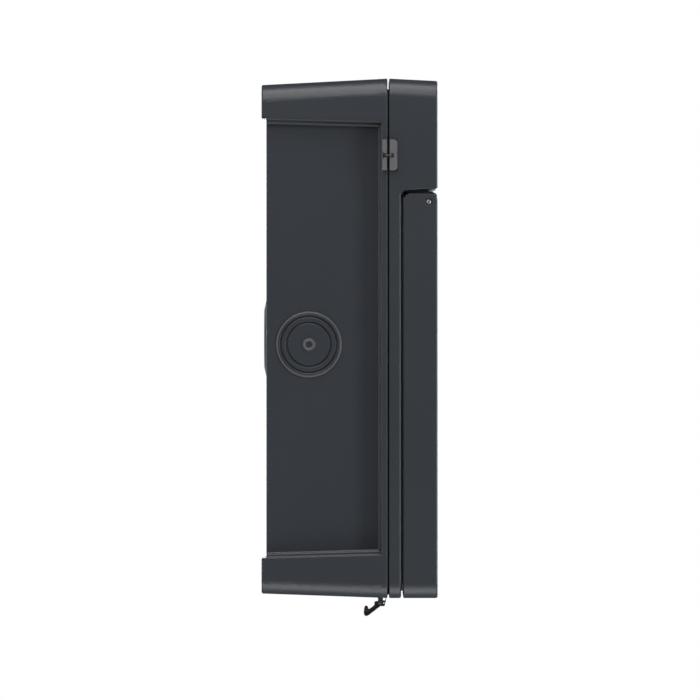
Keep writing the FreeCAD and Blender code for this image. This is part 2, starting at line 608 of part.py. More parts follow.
def make_front_cover():
    body = new_body("front_cover")
    profile = side_sketch(body, "cover_profile", f"-{HALF_WIDTH}")
    side_outline(profile, [("cover_rear", f"-{HALF_HEIGHT}"), ("panel_front", f"-{HALF_HEIGHT}"),
                           ("panel_front", "head_bottom"), ("case_depth", "head_bottom + head_bottom_rise"),
                           ("case_depth", f"{HALF_HEIGHT} - head_top_fall"), ("cover_rear", HALF_HEIGHT)])
    pad(body, profile, "case_width")
    soften(body, "Fillet", "corner_radius", "y",
           lambda x, depth, z: near(abs(x), HALF_WIDTH) and abs(z) > 110)
    soften(body, "Fillet", "head_concave", "x", lambda x, depth, z: near(depth, "panel_front") and z > 0)
    soften(body, "Fillet", "front_edge", "x",
           lambda x, depth, z: (near(depth, "case_depth")) or (near(depth, "panel_front") and z < -100))
    rim = front_sketch(body, "rim_cavity", "cover_rear")
    rectangle(rim, ("-rim_half_width", "rim_half_width"), ("-cavity_half_height", "cavity_half_height"))
    pocket(body, rim, "panel_rear - cover_rear")
    head = front_sketch(body, "head_cavity", "head_cavity_rear")
    rectangle(head, (f"wall - {HALF_WIDTH}", f"{HALF_WIDTH} - wall"),
              ("head_cavity_bottom", "head_cavity_top"))
    pocket(body, head, "case_depth - wall - head_cavity_rear")
    front_openings(body)
    panel_openings(body)
    board_posts(body)
    drip_rib(body)
    hinge_lugs(body)
    for name, side in LEFT_AND_RIGHT:
        seat = side_sketch(body, "cover_lug_seat", f"{side} * lug_base")
        side_outline(seat, [("cover_rear - 1", "lug_bottom"), ("cover_lug_front", "lug_bottom"),
                            ("cover_lug_front", "lug_top"), ("cover_rear - 1", "lug_top")])
        pocket(body, seat, HALF_WIDTH, side == "1")
    return keep(body, "front_cover")


# ---------------------------------------------------------------- seal lugs, pins and catch

def make_seal_lug(half, name, side):
    """One half of a seal: an upper and a lower block on a base, with an eye for the link."""
    rear, front = f"{half}_lug_rear", f"{half}_lug_front"
    body = new_body(f"seal_lug_{half}_{name}")
    start = "lug_base" if side == "1" else f"-({HALF_WIDTH} + lug_proud)"
    rise = f"{HALF_WIDTH} + lug_proud - lug_base"
    base = side_sketch(body, "lug_outline", start)
    side_outline(base, [(rear, "lug_bottom"), (front, "lug_bottom"), (front, "lug_top"), (rear, "lug_top")])
    pad(body, base, rise)
    if half == "cover":
        soften(body, "Fillet", "cover_lug_radius", "x",
               lambda x, depth, z: near(depth, front, 0.1))
    neck = side_sketch(body, "lug_neck", f"{HALF_WIDTH} + lug_proud - lug_neck" if side == "1" else start)
    low = "lug_hole_height - lug_hole"
    high = f"{low} + lug_hole + lug_gap - 0.4"
    edge = f"{front} - 0.5" if half == "cover" else f"{rear} + 0.5"
    far = f"{front} + 1" if half == "cover" else f"{rear} - 1"
    side_outline(neck, [(edge, low), (far, low), (far, high), (edge, high)])
    pocket(body, neck, "lug_neck")
    eye = side_sketch(body, "lug_eye", start)
    half_eye = "lug_hole / 2"
    side_outline(eye, [(f"{half}_lug_hole - {half_eye} * 0.7", f"lug_hole_height - {half_eye}"),
                       (f"{half}_lug_hole + {half_eye} * 0.7", f"lug_hole_height - {half_eye}"),
                       (f"{half}_lug_hole + {half_eye} * 0.7", f"lug_hole_height + {half_eye}"),
                       (f"{half}_lug_hole - {half_eye} * 0.7", f"lug_hole_height + {half_eye}")])
    pocket(body, eye, rise)
    keep(body, f"seal_lug_{half}_{name}")


def make_seal_links():
    """A brass staple on each flank: two legs in the eyes and a bar across the parting line."""
    links = []
    for name, side in LEFT_AND_RIGHT:
        ends = ("lug_base + 0.2", "link_plane") if side == "1" else ("-link_plane", "-(lug_base + 0.2)")
        legs = [axle(f"link_leg_{half}_{name}", "link_radius", ends, (f"{half}_lug_hole", "lug_hole_height"))
                for half in ("box", "cover")]
        bar_x = f"{side} * (link_plane - link_radius)"
        bar = disc(f"link_bar_{name}", "link_radius", ("box_lug_hole", "cover_lug_hole"),
                   (bar_x, "lug_hole_height"))
        links.append(joined(f"link_{name}", bar, *legs))
    keep(group("links", *links), "seal_links")


def make_hinge_pins():
    """A pin through each lug into the flap's side wall, with a socket in its outer end."""
    end = f"({HALF_WIDTH} - pin_sink)"
    spans = (("left", (f"-{end}", "-lug_inner"), (f"-{end}", f"pin_socket_depth - {end}")),
             ("right", ("lug_inner", end), (f"{end} - pin_socket_depth", end)))
    for name, span, mouth in spans:
        rod = axle(f"pin_rod_{name}", "pin_radius", span, ("pin_depth", "pin_height"))
        socket = axle(f"pin_socket_{name}", "pin_socket", mouth, ("pin_depth", "pin_height"))
        keep(less(f"pin_{name}", rod, socket), f"hinge_pin_{name}")


def make_catch():
    """A small hooked lever on a pin between the cheeks."""
    rod = axle("catch_rod", "catch_pin_radius", ("-cheek_outer", "cheek_outer"),
               ("catch_depth", "catch_height"))
    keep(rod, "catch_pin")
    body = new_body("catch_lever")
    start = "catch_play - cheek_inner"
    width = "2 * (cheek_inner - catch_play)"
    tip = "(catch_depth - lever_reach)"
    foot = "(catch_height - lever_drop)"
    hook = f"({tip} + lever_tip)"
    arm = side_sketch(body, "lever_arm", start)
    side_outline(arm, [("catch_depth - lever_half", "catch_height + lever_half"),
                       (hook, f"{foot} + lever_web"), (hook, f"{foot} + lever_hook"),
                       (tip, f"{foot} + lever_hook"), (tip, foot), (f"{hook} - lever_half", foot),
                       ("catch_depth + lever_half", "catch_height - lever_half")])
    pad(body, arm, width)
    rounds = (("knuckle", "knuckle_radius", "catch_depth"), ("nub", "nub_radius", "nub_depth"))
    for name, radius, depth in rounds:
        boss = side_sketch(body, f"lever_{name}", start)
        circle(boss, radius, (f"-{depth}", "catch_height"))
        pad(body, boss, width)
    bore = side_sketch(body, "lever_bore", start)
    circle(bore, "catch_pin_radius + pin_play", ("-catch_depth", "catch_height"))
    pocket(body, bore, width)
    keep(body, "catch_lever")


# ---------------------------------------------------------------- camera head

def make_camera_window():
    body = new_body("camera_window")
    sheet_z = ("window_height - window_half_height", "window_height + window_half_height")
    outer = front_sketch(body, "window_outline", "window_seat")
    rectangle(outer, ("-window_half_width", "window_half_width"), sheet_z)
    pad(body, outer, "window_front - window_seat")
    soften(body, "Fillet", "window_radius", "y", lambda x, depth, z: True)
    eye = front_sketch(body, "lens_hole", "window_seat")
    circle(eye, "lens_hole", ("0", "window_height"))
    pocket(body, eye, "case_depth")
    keep(body, "camera_window")


def make_camera():
    """The lens stack on its board, from the glass at the front to the barrel's foot."""
    at = ("0", "window_height")
    ring = disc("bezel_ring", "lens_hole", ("bezel_rear", "window_front"), at)
    flange = disc("bezel_flange_disc", "bezel_flange", ("bezel_rear", "window_seat"), at)
    keep(less("bezel", joined("bezel_outer", ring, flange),
              disc("bezel_bore", "lens_radius", ("bezel_rear", "case_depth"), at)), "lens_bezel")
    rod = disc("lens_rod", "lens_radius", ("lens_rear", "lens_front"), at)
    ball = doc.addObject("Part::Sphere", "lens_ball")
    bind(ball, Radius="lens_curve", Placement__Base__y="lens_curve - lens_front",
         Placement__Base__z="window_height")
    lens = doc.addObject("Part::MultiCommon", "lens_solid")
    lens.Shapes = [rod, ball]
    keep(lens, "camera_lens")
    barrel = disc("barrel_tube", "barrel_radius", ("camera_board_front", "lens_rear"), at)
    foot = disc("barrel_foot_disc", "barrel_foot",
                ("camera_board_front", "camera_board_front + barrel_foot_height"), at)
    keep(joined("barrel", barrel, foot), "lens_barrel")


def board_with_holes(name, x, depth, z, hole_x, hole_z):
    """A board with a screw hole at each corner."""
    plate = block(f"{name}_plate", x, depth, z)
    places = [(f"{side} * {hole_x}", height) for side in ("-1", "1") for height in hole_z]
    holes = [disc(f"{name}_hole_{index}", "small_screw_radius", depth, place)
             for index, place in enumerate(places)]
    return less(f"{name}_solid", plate, *holes)


def make_head_electronics():
    depth = ("camera_board_rear", "camera_board_front")
    keep(board_with_holes("camera_board", ("-camera_board_half_width", "camera_board_half_width"), depth,
                          ("camera_board_bottom", "camera_board_top"), "camera_post_x",
                          ("camera_post_low", "camera_post_high")), "camera_board")
    diodes = []
    for index in range(6):
        side = "-1" if index % 2 else "1"
        x = f"{side} * (diode_first + {index // 2} * diode_pitch)"
        diodes.append(disc(f"diode_{index}", "diode_radius", ("camera_board_front", "diode_front"),
                           (x, "window_height")))
    keep(group("diodes", *diodes), "infrared_diodes")
    wide = ("-motion_half_width", "motion_half_width")
    tall = ("sensor_height - motion_half_height", "sensor_height + motion_half_height")
    face = block("motion_face", wide, ("case_depth - wall", "window_front"), tall)
    lip = block("motion_lip", ("-motion_half_width - motion_flange", "motion_half_width + motion_flange"),
                ("case_depth - wall - motion_flange", "case_depth - wall"),
                (f"{tall[0]} - 0.5 * motion_flange", f"{tall[1]} + 0.5 * motion_flange"))
    keep(joined("motion_lens_solid", face, lip), "motion_lens")
    keep(disc("motion_can", "motion_sensor_radius", ("camera_board_front", "motion_sensor_front"),
              ("0", "camera_board_bottom + motion_sensor_radius + 1")), "motion_sensor")
    at = ("mic_x", "sensor_height")
    keep(disc("mic_can", "mic_radius", ("mic_rear", "mic_front"), at), "microphone")
    tube = disc("boot_tube", "boot_radius", ("camera_board_front", "case_depth - wall"), at)
    bore = disc("boot_bore", "mic_radius", ("mic_rear", "mic_front"), at)
    sound = disc("boot_sound_way", "mic_hole", ("mic_front", "case_depth"), at)
    keep(less("boot", tube, bore, sound), "microphone_boot")


def make_camera_flex():
    """A flat printed cable from the camera board down to the main board."""
    body = new_body("camera_flex")
    strip = side_sketch(body, "flex_outline", "flex_left")
    back = "camera_board_rear - flex_thickness"
    face = "board_front + flex_thickness"
    side_outline(strip, [("camera_board_rear", "flex_top"), (back, "flex_top"), (back, "flex_bend"),
                         ("board_front", "board_top + 1"), ("board_front", "board_top - flex_lap"),
                         (face, "board_top - flex_lap"), (face, "board_top + 0.8"),
                         ("camera_board_rear", "flex_bend - 0.2")])
    pad(body, strip, "flex_right - flex_left")
    keep(body, "camera_flex")


# ---------------------------------------------------------------- boards on the back of the cover

def make_main_board():
    depth = ("board_rear", "board_front")
    keep(board_with_holes("main_board", ("-board_half_width", "board_half_width"), depth,
                          ("board_bottom", "board_top"), "board_post_x",
                          ("board_post_low", "board_post_high")), "main_board")
    keep(block("shield_can", ("-shield_half_width", "shield_half_width"),
               ("board_rear - shield_height", "board_rear"), ("shield_bottom", "shield_top")), "radio_shield")
    half = "reset_switch_half"
    keep(block("switch_block", (f"reset_x - {half}", f"reset_x + {half}"),
               ("board_front", "reset_switch_front"), (f"reset_z - {half}", f"reset_z + {half}")),
         "reset_switch")
    screws = []
    boards = (("main", "board_rear", "board_post_x", ("board_post_low", "board_post_high")),
              ("camera", "camera_board_rear", "camera_post_x", ("camera_post_low", "camera_post_high")))
    for name, face, x, heights in boards:
        for index, (side, z) in enumerate((side, z) for side in ("-1", "1") for z in heights):
            screws.append(small_screw(f"{name}_{index}", face, "-1", (f"{side} * {x}", z)))
    keep(group("small_screws", *screws), "board_screws")


def small_screw(name, face, way, at):
    """A small pan-head screw whose head lies on a face, on the wall's side or the front side of it."""
    head = (f"{face} - small_head_height", face) if way == "-1" else (face, f"{face} + small_head_height")
    grip = (face, f"{face} + small_screw_grip") if way == "-1" else (f"{face} - small_screw_grip", face)
    return joined(f"small_screw_{name}", disc(f"small_head_{name}", "small_head_radius", head, at),
                  disc(f"small_shank_{name}", "small_screw_radius", grip, at))


def make_ring_board():
    at = ("0", "bell_height")
    keep(disc("ring_plate", "ring_board_radius", ("ring_board_rear", "ring_board_front"), at), "ring_board")
    lights = []
    for index in range(8):
        angle = math.radians(45 * index)
        x = f"{math.cos(angle):.4f} * ring_diode_radius"
        z = f"bell_height + {math.sin(angle):.4f} * ring_diode_radius"
        half = "ring_diode_size / 2"
        lights.append(block(f"ring_light_{index}", (f"{x} - {half}", f"{x} + {half}"),
                            ("ring_board_front", "ring_board_front + ring_diode_height"),
                            (f"{z} - {half}", f"{z} + {half}")))
    keep(group("ring_lights", *lights), "ring_diodes")
    half = "hall_size / 2"
    keep(block("hall_block", (f"-{half}", half), ("ring_board_front", "ring_board_front + ring_diode_height"),
               (f"bell_height - {half}", f"bell_height + {half}")), "hall_sensor")
    keep(disc("lit_disc", "lit_disc_radius", ("panel_rear", "panel_front"), at), "lit_window")


# ---------------------------------------------------------------- speaker, power and wiring

def make_speaker():
    at = ("0", "speaker_height")
    basket = disc("speaker_basket", "speaker_radius", ("speaker_rear", "speaker_front"), at)
    hollow = disc("speaker_hollow", "speaker_cone_radius", ("speaker_front - 1.5", "speaker_front"), at)
    magnet = disc("speaker_magnet_can", "speaker_magnet_radius", ("speaker_magnet_rear", "speaker_rear"), at)
    keep(less("speaker_solid", joined("speaker_outer", basket, magnet), hollow), "speaker")
    ring = ("speaker_front", "panel_rear")
    keep(less("speaker_seal", disc("speaker_seal_outer", "speaker_radius", ring, at),
              disc("speaker_seal_inner", "speaker_cone_radius", ring, at)), "speaker_gasket")


def make_power():
    keep(block("supply", ("-supply_half_width", "supply_half_width"), ("box_floor", "supply_front"),
               ("supply_bottom", "supply_top")), "power_supply")
    rail = block("terminal_rail", ("-terminal_half_width", "terminal_half_width"),
                 ("box_floor", "terminal_front"), ("terminal_bottom", "terminal_top"))
    mouths = []
    for index in range(DIMENSIONS["terminal_ways"]):
        x = f"-terminal_half_width + ({index} + 0.5) * 2 * terminal_half_width / terminal_ways"
        mouths.append(disc(f"terminal_mouth_{index}", "small_head_radius",
                           ("terminal_front - terminal_well", "terminal_front"),
                           (x, "(terminal_bottom + terminal_top) / 2")))
    keep(less("terminals", rail, *mouths), "terminal_block")
    keep(block("battery_pack", ("-battery_half_width", "battery_half_width"), ("box_floor", "battery_front"),
               ("battery_bottom", "battery_top")), "backup_battery")
    middle = "(battery_bottom + battery_top) / 2"
    height = (f"{middle} - strap_half_height", f"{middle} + strap_half_height")
    reach = "battery_half_width + strap_thickness"
    hoop = block("strap_hoop", (f"-({reach})", reach), ("box_floor", "battery_front + strap_thickness"),
                 height)
    feet = block("strap_feet", ("-battery_half_width - strap_foot", "battery_half_width + strap_foot"),
                 ("box_floor", "box_floor + strap_thickness"), height)
    gap = block("strap_gap", ("-battery_half_width", "battery_half_width"), ("0", "battery_front"), height)
    keep(less("strap", joined("strap_outer", hoop, feet), gap), "battery_strap")


# ---------------------------------------------------------------- fixings and service parts

def make_service_parts():
    screws = []
    for name, side in LEFT_AND_RIGHT:
        at = (f"{side} * cover_screw_x", "cover_screw_z")
        shank = disc(f"cover_shank_{name}", "cover_screw_radius", ("cover_screw_end", "panel_front"), at)
        head = disc(f"cover_head_{name}", "cover_head_radius",
                    ("panel_front", "panel_front + cover_head_height"), at)
        socket = disc(f"cover_socket_{name}", "small_screw_radius + 0.3",
                      ("panel_front + cover_head_height / 2", "case_depth"), at)
        screws.append(less(f"cover_screw_{name}", joined(f"cover_screw_outer_{name}", shank, head),
                           socket))
    keep(group("large_screws", *screws), "cover_screws")
    at = ("reset_x", "reset_z")
    stem = disc("reset_stem", "reset_radius", ("reset_rear", "reset_front"), at)
    collar = disc("reset_collar", "reset_flange",
                  ("panel_rear - 0.1 - reset_flange_height", "panel_rear - 0.1"), at)
    keep(joined("reset", stem, collar), "reset_button")
    wide = ("service_x - service_half_width", "service_x + service_half_width")
    tall = ("service_z - service_half_height", "service_z + service_half_height")
    plug = block("service_plug", wide, ("panel_rear", "panel_front"), tall)
    lip = block("service_lip_block", (f"{wide[0]} - service_lip", f"{wide[1]} + service_lip"),
                ("panel_front", "panel_front + service_lip_height"),
                (f"{tall[0]} - service_lip", f"{tall[1]} + service_lip"))
    keep(joined("service", plug, lip), "service_cap")


def make_keeper():
    """The plate with a lip that the lock's cam turns behind."""
    body = new_body("lock_keeper")
    profile = side_sketch(body, "keeper_outline", "-keeper_half_width")
    side_outline(profile, [("panel_front", "keeper_top"), ("keeper_base", "keeper_top"),
                           ("keeper_base", "keeper_web_top"), ("keeper_lip_front", "keeper_web_top"),
                           ("keeper_lip_front", "keeper_lip_end"), ("keeper_lip_rear", "keeper_lip_end"),
                           ("keeper_lip_rear", "keeper_web_bottom"), ("panel_front", "keeper_web_bottom")])
    pad(body, profile, "2 * keeper_half_width")
    holes = front_sketch(body, "keeper_holes", "panel_front")
    for side in ("-1", "1"):
        circle(holes, "small_screw_radius", (f"{side} * keeper_screw_x", "keeper_screw_z"))
    pocket(body, holes, "keeper_base - panel_front")
    keep(body, "lock_keeper")
    screws = [small_screw(f"keeper_{name}", "keeper_base", "1",
                          (f"{side} * keeper_screw_x", "keeper_screw_z"))
              for name, side in LEFT_AND_RIGHT]
    keep(group("keeper_small_screws", *screws), "keeper_screws")


# ---------------------------------------------------------------- flap and what it carries

def make_flap_shell():
    body = new_body("flap_shell")
    profile = side_sketch(body, "flap_profile", f"-{HALF_WIDTH}")
    side_outline(profile, [("flap_rear", f"-{HALF_HEIGHT}"), ("case_depth", f"-{HALF_HEIGHT}"),
                           ("case_depth", "flap_top - flap_chamfer_drop"),
                           ("case_depth - flap_chamfer_depth", "flap_top"), ("flap_rear", "flap_top")])
    pad(body, profile, "case_width")
    soften(body, "Fillet", "corner_radius", "y", lambda x, depth, z: z < -100)
    soften(body, "Fillet", "flap_top_rear_radius", "x",
           lambda x, depth, z: near(depth, "flap_rear") and z > 0)
    soften(body, "Fillet", "front_edge", "x", lambda x, depth, z: near(depth, "case_depth") and z < 0)
    cavity = front_sketch(body, "flap_cavity", "flap_rear")
    rectangle(cavity, (f"wall - {HALF_WIDTH}", f"{HALF_WIDTH} - wall"),
              (f"wall - {HALF_HEIGHT}", "flap_top - wall"))
    pocket(body, cavity, "case_depth - wall - flap_rear")
    soften(body, "Fillet", "flap_inner_radius", "y",
           lambda x, depth, z: near(abs(x), f"{HALF_WIDTH} - wall") and near(z, f"wall - {HALF_HEIGHT}"))
    brow = side_sketch(body, "brow_outline", "-brow_half_width")
    side_outline(brow, [("brow_rear", "flap_top - 1"), ("brow_rear", "brow_top"),
                        ("brow_front - 2.4", "brow_top"), ("brow_front - 0.6", "brow_top - 0.95"),
                        ("brow_front", "brow_top - 1.6"),
                        ("brow_front", "brow_low"), ("case_depth - 2", "brow_low"),
                        ("case_depth - 2", "flap_top - 1")])
    pad(body, brow, "2 * brow_half_width")
    for side, start in (("-1", "-lug_outer - notch_play"), ("1", "lug_inner - notch_play")):
        notch = side_sketch(body, "hinge_notch", start)
        front = "pin_depth + notch_forward"
        side_outline(notch, [("flap_rear - 1", "flap_top - wall - 1"), (front, "flap_top - wall - 1"),
                             (front, "flap_top + 1"), ("flap_rear - 1", "flap_top + 1")])
        pocket(body, notch, "lug_outer - lug_inner + 2 * notch_play")
        eye = side_sketch(body, "hinge_pocket", start)
        circle(eye, "lug_radius + lug_clearance", ("-pin_depth", "pin_height"))
        pocket(body, eye, "lug_outer - lug_inner + 2 * notch_play")
    bore = side_sketch(body, "pin_bore", f"-{HALF_WIDTH}")
    circle(bore, "pin_radius + pin_play", ("-pin_depth", "pin_height"))
    pocket(body, bore, "case_width")
    for side, start in (("-1", f"-{HALF_WIDTH}"), ("1", f"{HALF_WIDTH} - counterbore_depth")):
        mouth = side_sketch(body, "pin_counterbore", start)
        circle(mouth, "counterbore", ("-pin_depth", "pin_height"))
        pocket(body, mouth, "counterbore_depth")
    flap_openings(body)
    keep(body, "flap_shell")


def flap_openings(body):
    """The openings in the flap's front wall, with the shallow seats around two of them."""
    through = "case_depth - wall - 1"
    plate = front_sketch(body, "name_seat", "name_seat")
    rectangle(plate, ("-name_half_width", "name_half_width"),
              ("name_height - name_half_height", "name_height + name_half_height"))
    pocket(body, plate, "case_depth")
    soften(body, "Fillet", "name_radius", "y",
           lambda x, depth, z: near(abs(x), "name_half_width") and depth > 78)
    lock_seat = front_sketch(body, "lock_seat", "lock_seat")
    circle(lock_seat, "lock_bezel", ("0", "lock_height"))
    pocket(body, lock_seat, "case_depth")
    holes = front_sketch(body, "round_openings", through)
    circle(holes, "guide_outer", ("0", "bell_height"))
    circle(holes, "lock_radius", ("0", "lock_height"))
    pocket(body, holes, "case_depth")
    slots = front_sketch(body, "speaker_slots", through)
    for index in range(DIMENSIONS["slot_count"]):
        middle = f"speaker_height + ({index} - (slot_count - 1) / 2) * slot_pitch"
        rectangle(slots, ("-slot_half_width", "slot_half_width"),
                  (f"{middle} - slot_height / 2", f"{middle} + slot_height / 2"))
    pocket(body, slots, "case_depth")


def make_name_plate():
    wide = ("-name_half_width", "name_half_width")
    tall = ("name_height - name_half_height", "name_height + name_half_height")
    for name, depth in (("name_card", ("name_seat", "name_seat + card_thickness")),
                        ("name_window", ("name_seat + card_thickness", "name_front"))):
        body = new_body(name)
        plate = front_sketch(body, f"{name}_outline", depth[0])
        rectangle(plate, wide, tall)
        pad(body, plate, f"{depth[1]} - ({depth[0]})")
        soften(body, "Fillet", "name_radius", "y", lambda x, depth, z: True)
        keep(body, name)


def make_bell():
    """The lit ring with its carrier, and the cap that slides in it on a rod."""
    at = ("0", "bell_height")
    tube = disc("guide_tube", "guide_outer", ("guide_rear", "guide_front"), at)
    flange = disc("guide_flange_disc", "guide_flange", ("case_depth - wall - guide_flange_height",
                                                        "case_depth - wall"), at)
    bore = disc("guide_bore", "guide_inner", ("guide_rear", "case_depth"), at)
    keep(less("guide", joined("guide_outer_solid", tube, flange), bore), "light_guide")
    carrier = ("carrier_rear", "carrier_front")
    keep(less("carrier", disc("carrier_plate", "guide_inner", carrier, at),
              disc("carrier_bore", "rod_radius + rod_play", carrier, at)), "button_carrier")
    spring = ("carrier_front", "cap_rear")
    keep(less("spring", disc("spring_outer_solid", "spring_outer", spring, at),
              disc("spring_inner_solid", "spring_inner", spring, at)), "bell_spring")
    cap = disc("cap_disc", "cap_radius", ("cap_rear", "cap_front"), at)
    rod = disc("cap_rod", "rod_radius", ("rod_end", "cap_rear"), at)
    magnet = ("rod_end", "rod_end + magnet_length")
    keep(less("cap", joined("cap_outer", cap, rod), disc("magnet_seat", "magnet_radius", magnet, at)),
         "bell_button_cap")
    keep(disc("magnet", "magnet_radius", magnet, at), "bell_magnet")
    clip = ("clip_rear", "clip_front")
    keep(less("clip", disc("clip_outer", "clip_radius", clip, at),
              disc("clip_inner", "rod_radius", clip, at)), "bell_clip")


def make_speaker_mesh():
    top = "speaker_height + (slot_count - 1) / 2 * slot_pitch + mesh_margin"
    bottom = "speaker_height - (slot_count - 1) / 2 * slot_pitch - mesh_margin"
    keep(block("mesh_sheet", ("-slot_half_width - mesh_margin", "slot_half_width + mesh_margin"),
               ("case_depth - wall - mesh_thickness", "case_depth - wall"), (bottom, top)), "speaker_mesh")


def make_lock():
    at = ("0", "lock_height")
    barrel = disc("lock_tube", "lock_radius", ("lock_rear", "lock_front"), at)
    bezel = disc("lock_bezel_disc", "lock_bezel", ("lock_seat", "lock_front"), at)
    bore = disc("lock_bore", "plug_radius + plug_play", ("lock_rear", "case_depth"), at)
    keep(less("lock_case", joined("lock_outer", barrel, bezel), bore), "lock_body")
    nut = doc.addObject("Part::Prism", "lock_nut_prism")
    nut.Polygon = 6
    nut.Placement.Rotation = FreeCAD.Rotation(FreeCAD.Vector(1, 0, 0), 90)
    bind(nut, Circumradius="nut_radius", Height="case_depth - wall - nut_rear",
         Placement__Base__y="-nut_rear", Placement__Base__z="lock_height")
    keep(less("nut", nut, disc("nut_bore", "lock_radius", ("nut_rear", "case_depth"), at)), "lock_nut")
    plug = disc("plug_rod", "plug_radius", ("cam_front", "plug_front"), at)
    slot = block("key_slot", ("-key_slot_half_width", "key_slot_half_width"),
                 ("plug_front - key_slot_depth", "case_depth"),
                 ("lock_height - key_slot_half_height", "lock_height + key_slot_half_height"))
    thread = ("cam_front", "cam_front + cam_screw_grip")
    hole = disc("plug_thread", "cam_screw_radius", thread, at)
    keep(less("plug", plug, slot, hole), "lock_plug")
    flat = ("cam_rear", "cam_front")
    arm = block("cam_arm", ("0", "cam_reach"), flat,
                ("lock_height - cam_half_width", "lock_height + cam_half_width"))
    hub = disc("cam_hub_disc", "cam_hub", flat, at)
    hole = disc("cam_hole", "cam_screw_radius", flat, at)
    keep(less("cam", joined("cam_outer", arm, hub), hole), "lock_cam")
    keep(joined("cam_bolt", disc("cam_bolt_head", "cam_screw_head", ("cam_screw_rear", "cam_rear"), at),
                disc("cam_bolt_shank", "cam_screw_radius", ("cam_rear", thread[1]), at)), "cam_screw")


# ---------------------------------------------------------------- the whole station

def make_all():
    fill_sheet()
    make_back_box()
    make_rear_entry()
    make_screw_hole_seals()
    make_gasket()
    make_front_cover()
    for half in ("box", "cover"):
        for name, side in LEFT_AND_RIGHT:
            make_seal_lug(half, name, side)
    make_seal_links()
    make_hinge_pins()
    make_catch()
    make_camera_window()
    make_camera()
    make_head_electronics()
    make_camera_flex()
    make_main_board()
    make_ring_board()
    make_speaker()
    make_power()
    make_service_parts()
    make_keeper()
    make_flap_shell()
    make_name_plate()
    make_bell()
    make_speaker_mesh()
    make_lock()
    doc.recompute()


def check_all():
    """Stops on a failed object or a piece that is not a sound solid."""
    for item in doc.Objects:
        if "Invalid" in item.State or "Error" in item.State:
            raise RuntimeError(f"{item.Label} failed")
    for piece in pieces:
        shape = piece.Shape
        if shape.isNull() or not shape.isValid() or not shape.Solids:
            raise RuntimeError(f"{piece.Label} is not a sound solid")
        print(f"{piece.Label:22} {len(shape.Solids):2} solids {shape.Volume:10.1f} mm3")
    print(len(pieces), "pieces")


def write_all():
    os.makedirs("parts", exist_ok=True)
    for piece in pieces:
        piece.Shape.exportStep(f"parts/{piece.Label}.step")


make_all()
check_all()
write_all()
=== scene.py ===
# %% [markdown]
# # A wall-mounted video door station
# The station is a deep moulded box on the wall, a cover with a camera head, and a flap hinged below the head.
# The engineering model is loaded first and never moved. Every piece made here sits where that model says, so
# the first cell loads it.

import json
import math

import bmesh
import bpy
import numpy as np
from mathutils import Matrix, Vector

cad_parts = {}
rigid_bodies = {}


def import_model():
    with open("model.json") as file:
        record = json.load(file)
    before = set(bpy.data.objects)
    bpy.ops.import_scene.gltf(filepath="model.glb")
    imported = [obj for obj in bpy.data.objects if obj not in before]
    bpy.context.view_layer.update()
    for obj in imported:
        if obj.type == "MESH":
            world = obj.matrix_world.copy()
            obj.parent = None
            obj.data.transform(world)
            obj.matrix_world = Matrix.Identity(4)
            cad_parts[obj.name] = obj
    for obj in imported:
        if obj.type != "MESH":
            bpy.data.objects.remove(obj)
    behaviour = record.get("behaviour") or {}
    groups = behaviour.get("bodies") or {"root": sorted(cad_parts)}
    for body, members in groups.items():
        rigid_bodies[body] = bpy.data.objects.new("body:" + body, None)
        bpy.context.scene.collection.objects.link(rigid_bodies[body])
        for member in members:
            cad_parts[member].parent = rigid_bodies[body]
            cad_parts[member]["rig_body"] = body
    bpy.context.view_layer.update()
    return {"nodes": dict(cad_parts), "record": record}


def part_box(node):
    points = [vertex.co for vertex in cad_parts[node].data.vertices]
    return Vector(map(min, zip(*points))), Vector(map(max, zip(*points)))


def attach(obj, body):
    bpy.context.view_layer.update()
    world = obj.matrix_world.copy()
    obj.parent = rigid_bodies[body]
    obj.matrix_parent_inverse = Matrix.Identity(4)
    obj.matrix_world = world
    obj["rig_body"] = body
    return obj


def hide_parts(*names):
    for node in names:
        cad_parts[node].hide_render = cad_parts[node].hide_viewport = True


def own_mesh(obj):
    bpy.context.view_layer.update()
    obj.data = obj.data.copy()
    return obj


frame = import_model()
nodes = frame["nodes"]
MM = 0.001
print("pieces in the frame:", len(nodes))

# %% [markdown]
# ## Camera
# The station is looked at square to its left flank, so the front points to the right of the picture. A very
# long lens from six metres away leaves almost no perspective, so the catch under the case isn't hidden. The
# aim point is the middle of the case's depth, a little low because the catch hangs below the case.

# %% Camera
case_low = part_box("back_box")[0]
front_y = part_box("flap_shell")[0].y
VIEW_WIDTH = 0.3176
AIM_SHARE = 0.5025
AIM_HEIGHT = -0.0053
CAMERA_AWAY = 6.0


def aim(item, target):
    """Turns an object so that its own -Z axis points at a target, with its Y axis up."""
    item.rotation_euler = (Vector(target) - item.location).to_track_quat("-Z", "Y").to_euler()


camera_data = bpy.data.cameras.new("camera")
camera_data.lens = camera_data.sensor_width * CAMERA_AWAY / VIEW_WIDTH
camera = bpy.data.objects.new("camera", camera_data)
bpy.context.scene.collection.objects.link(camera)
aim_point = Vector((case_low.x, front_y * AIM_SHARE, AIM_HEIGHT))
camera.location = aim_point + Vector((-CAMERA_AWAY, 0, 0))
aim(camera, aim_point)
bpy.context.scene.camera = camera
print("lens", round(camera_data.lens, 1), "mm")

# %% [markdown]
# ## Light and floor
# Dark satin plastic shows its shape only by what it mirrors, so the lights are large and soft. One hangs over
# the flank and a weaker one under it, and they draw the bright bands round the top and bottom corners. The
# front light stands to the right, so the front doesn't mirror it, and a narrow one at the left draws the lines
# on the upright edges. The background is white to the eye but dim to the plastic, which keeps the outline dark.

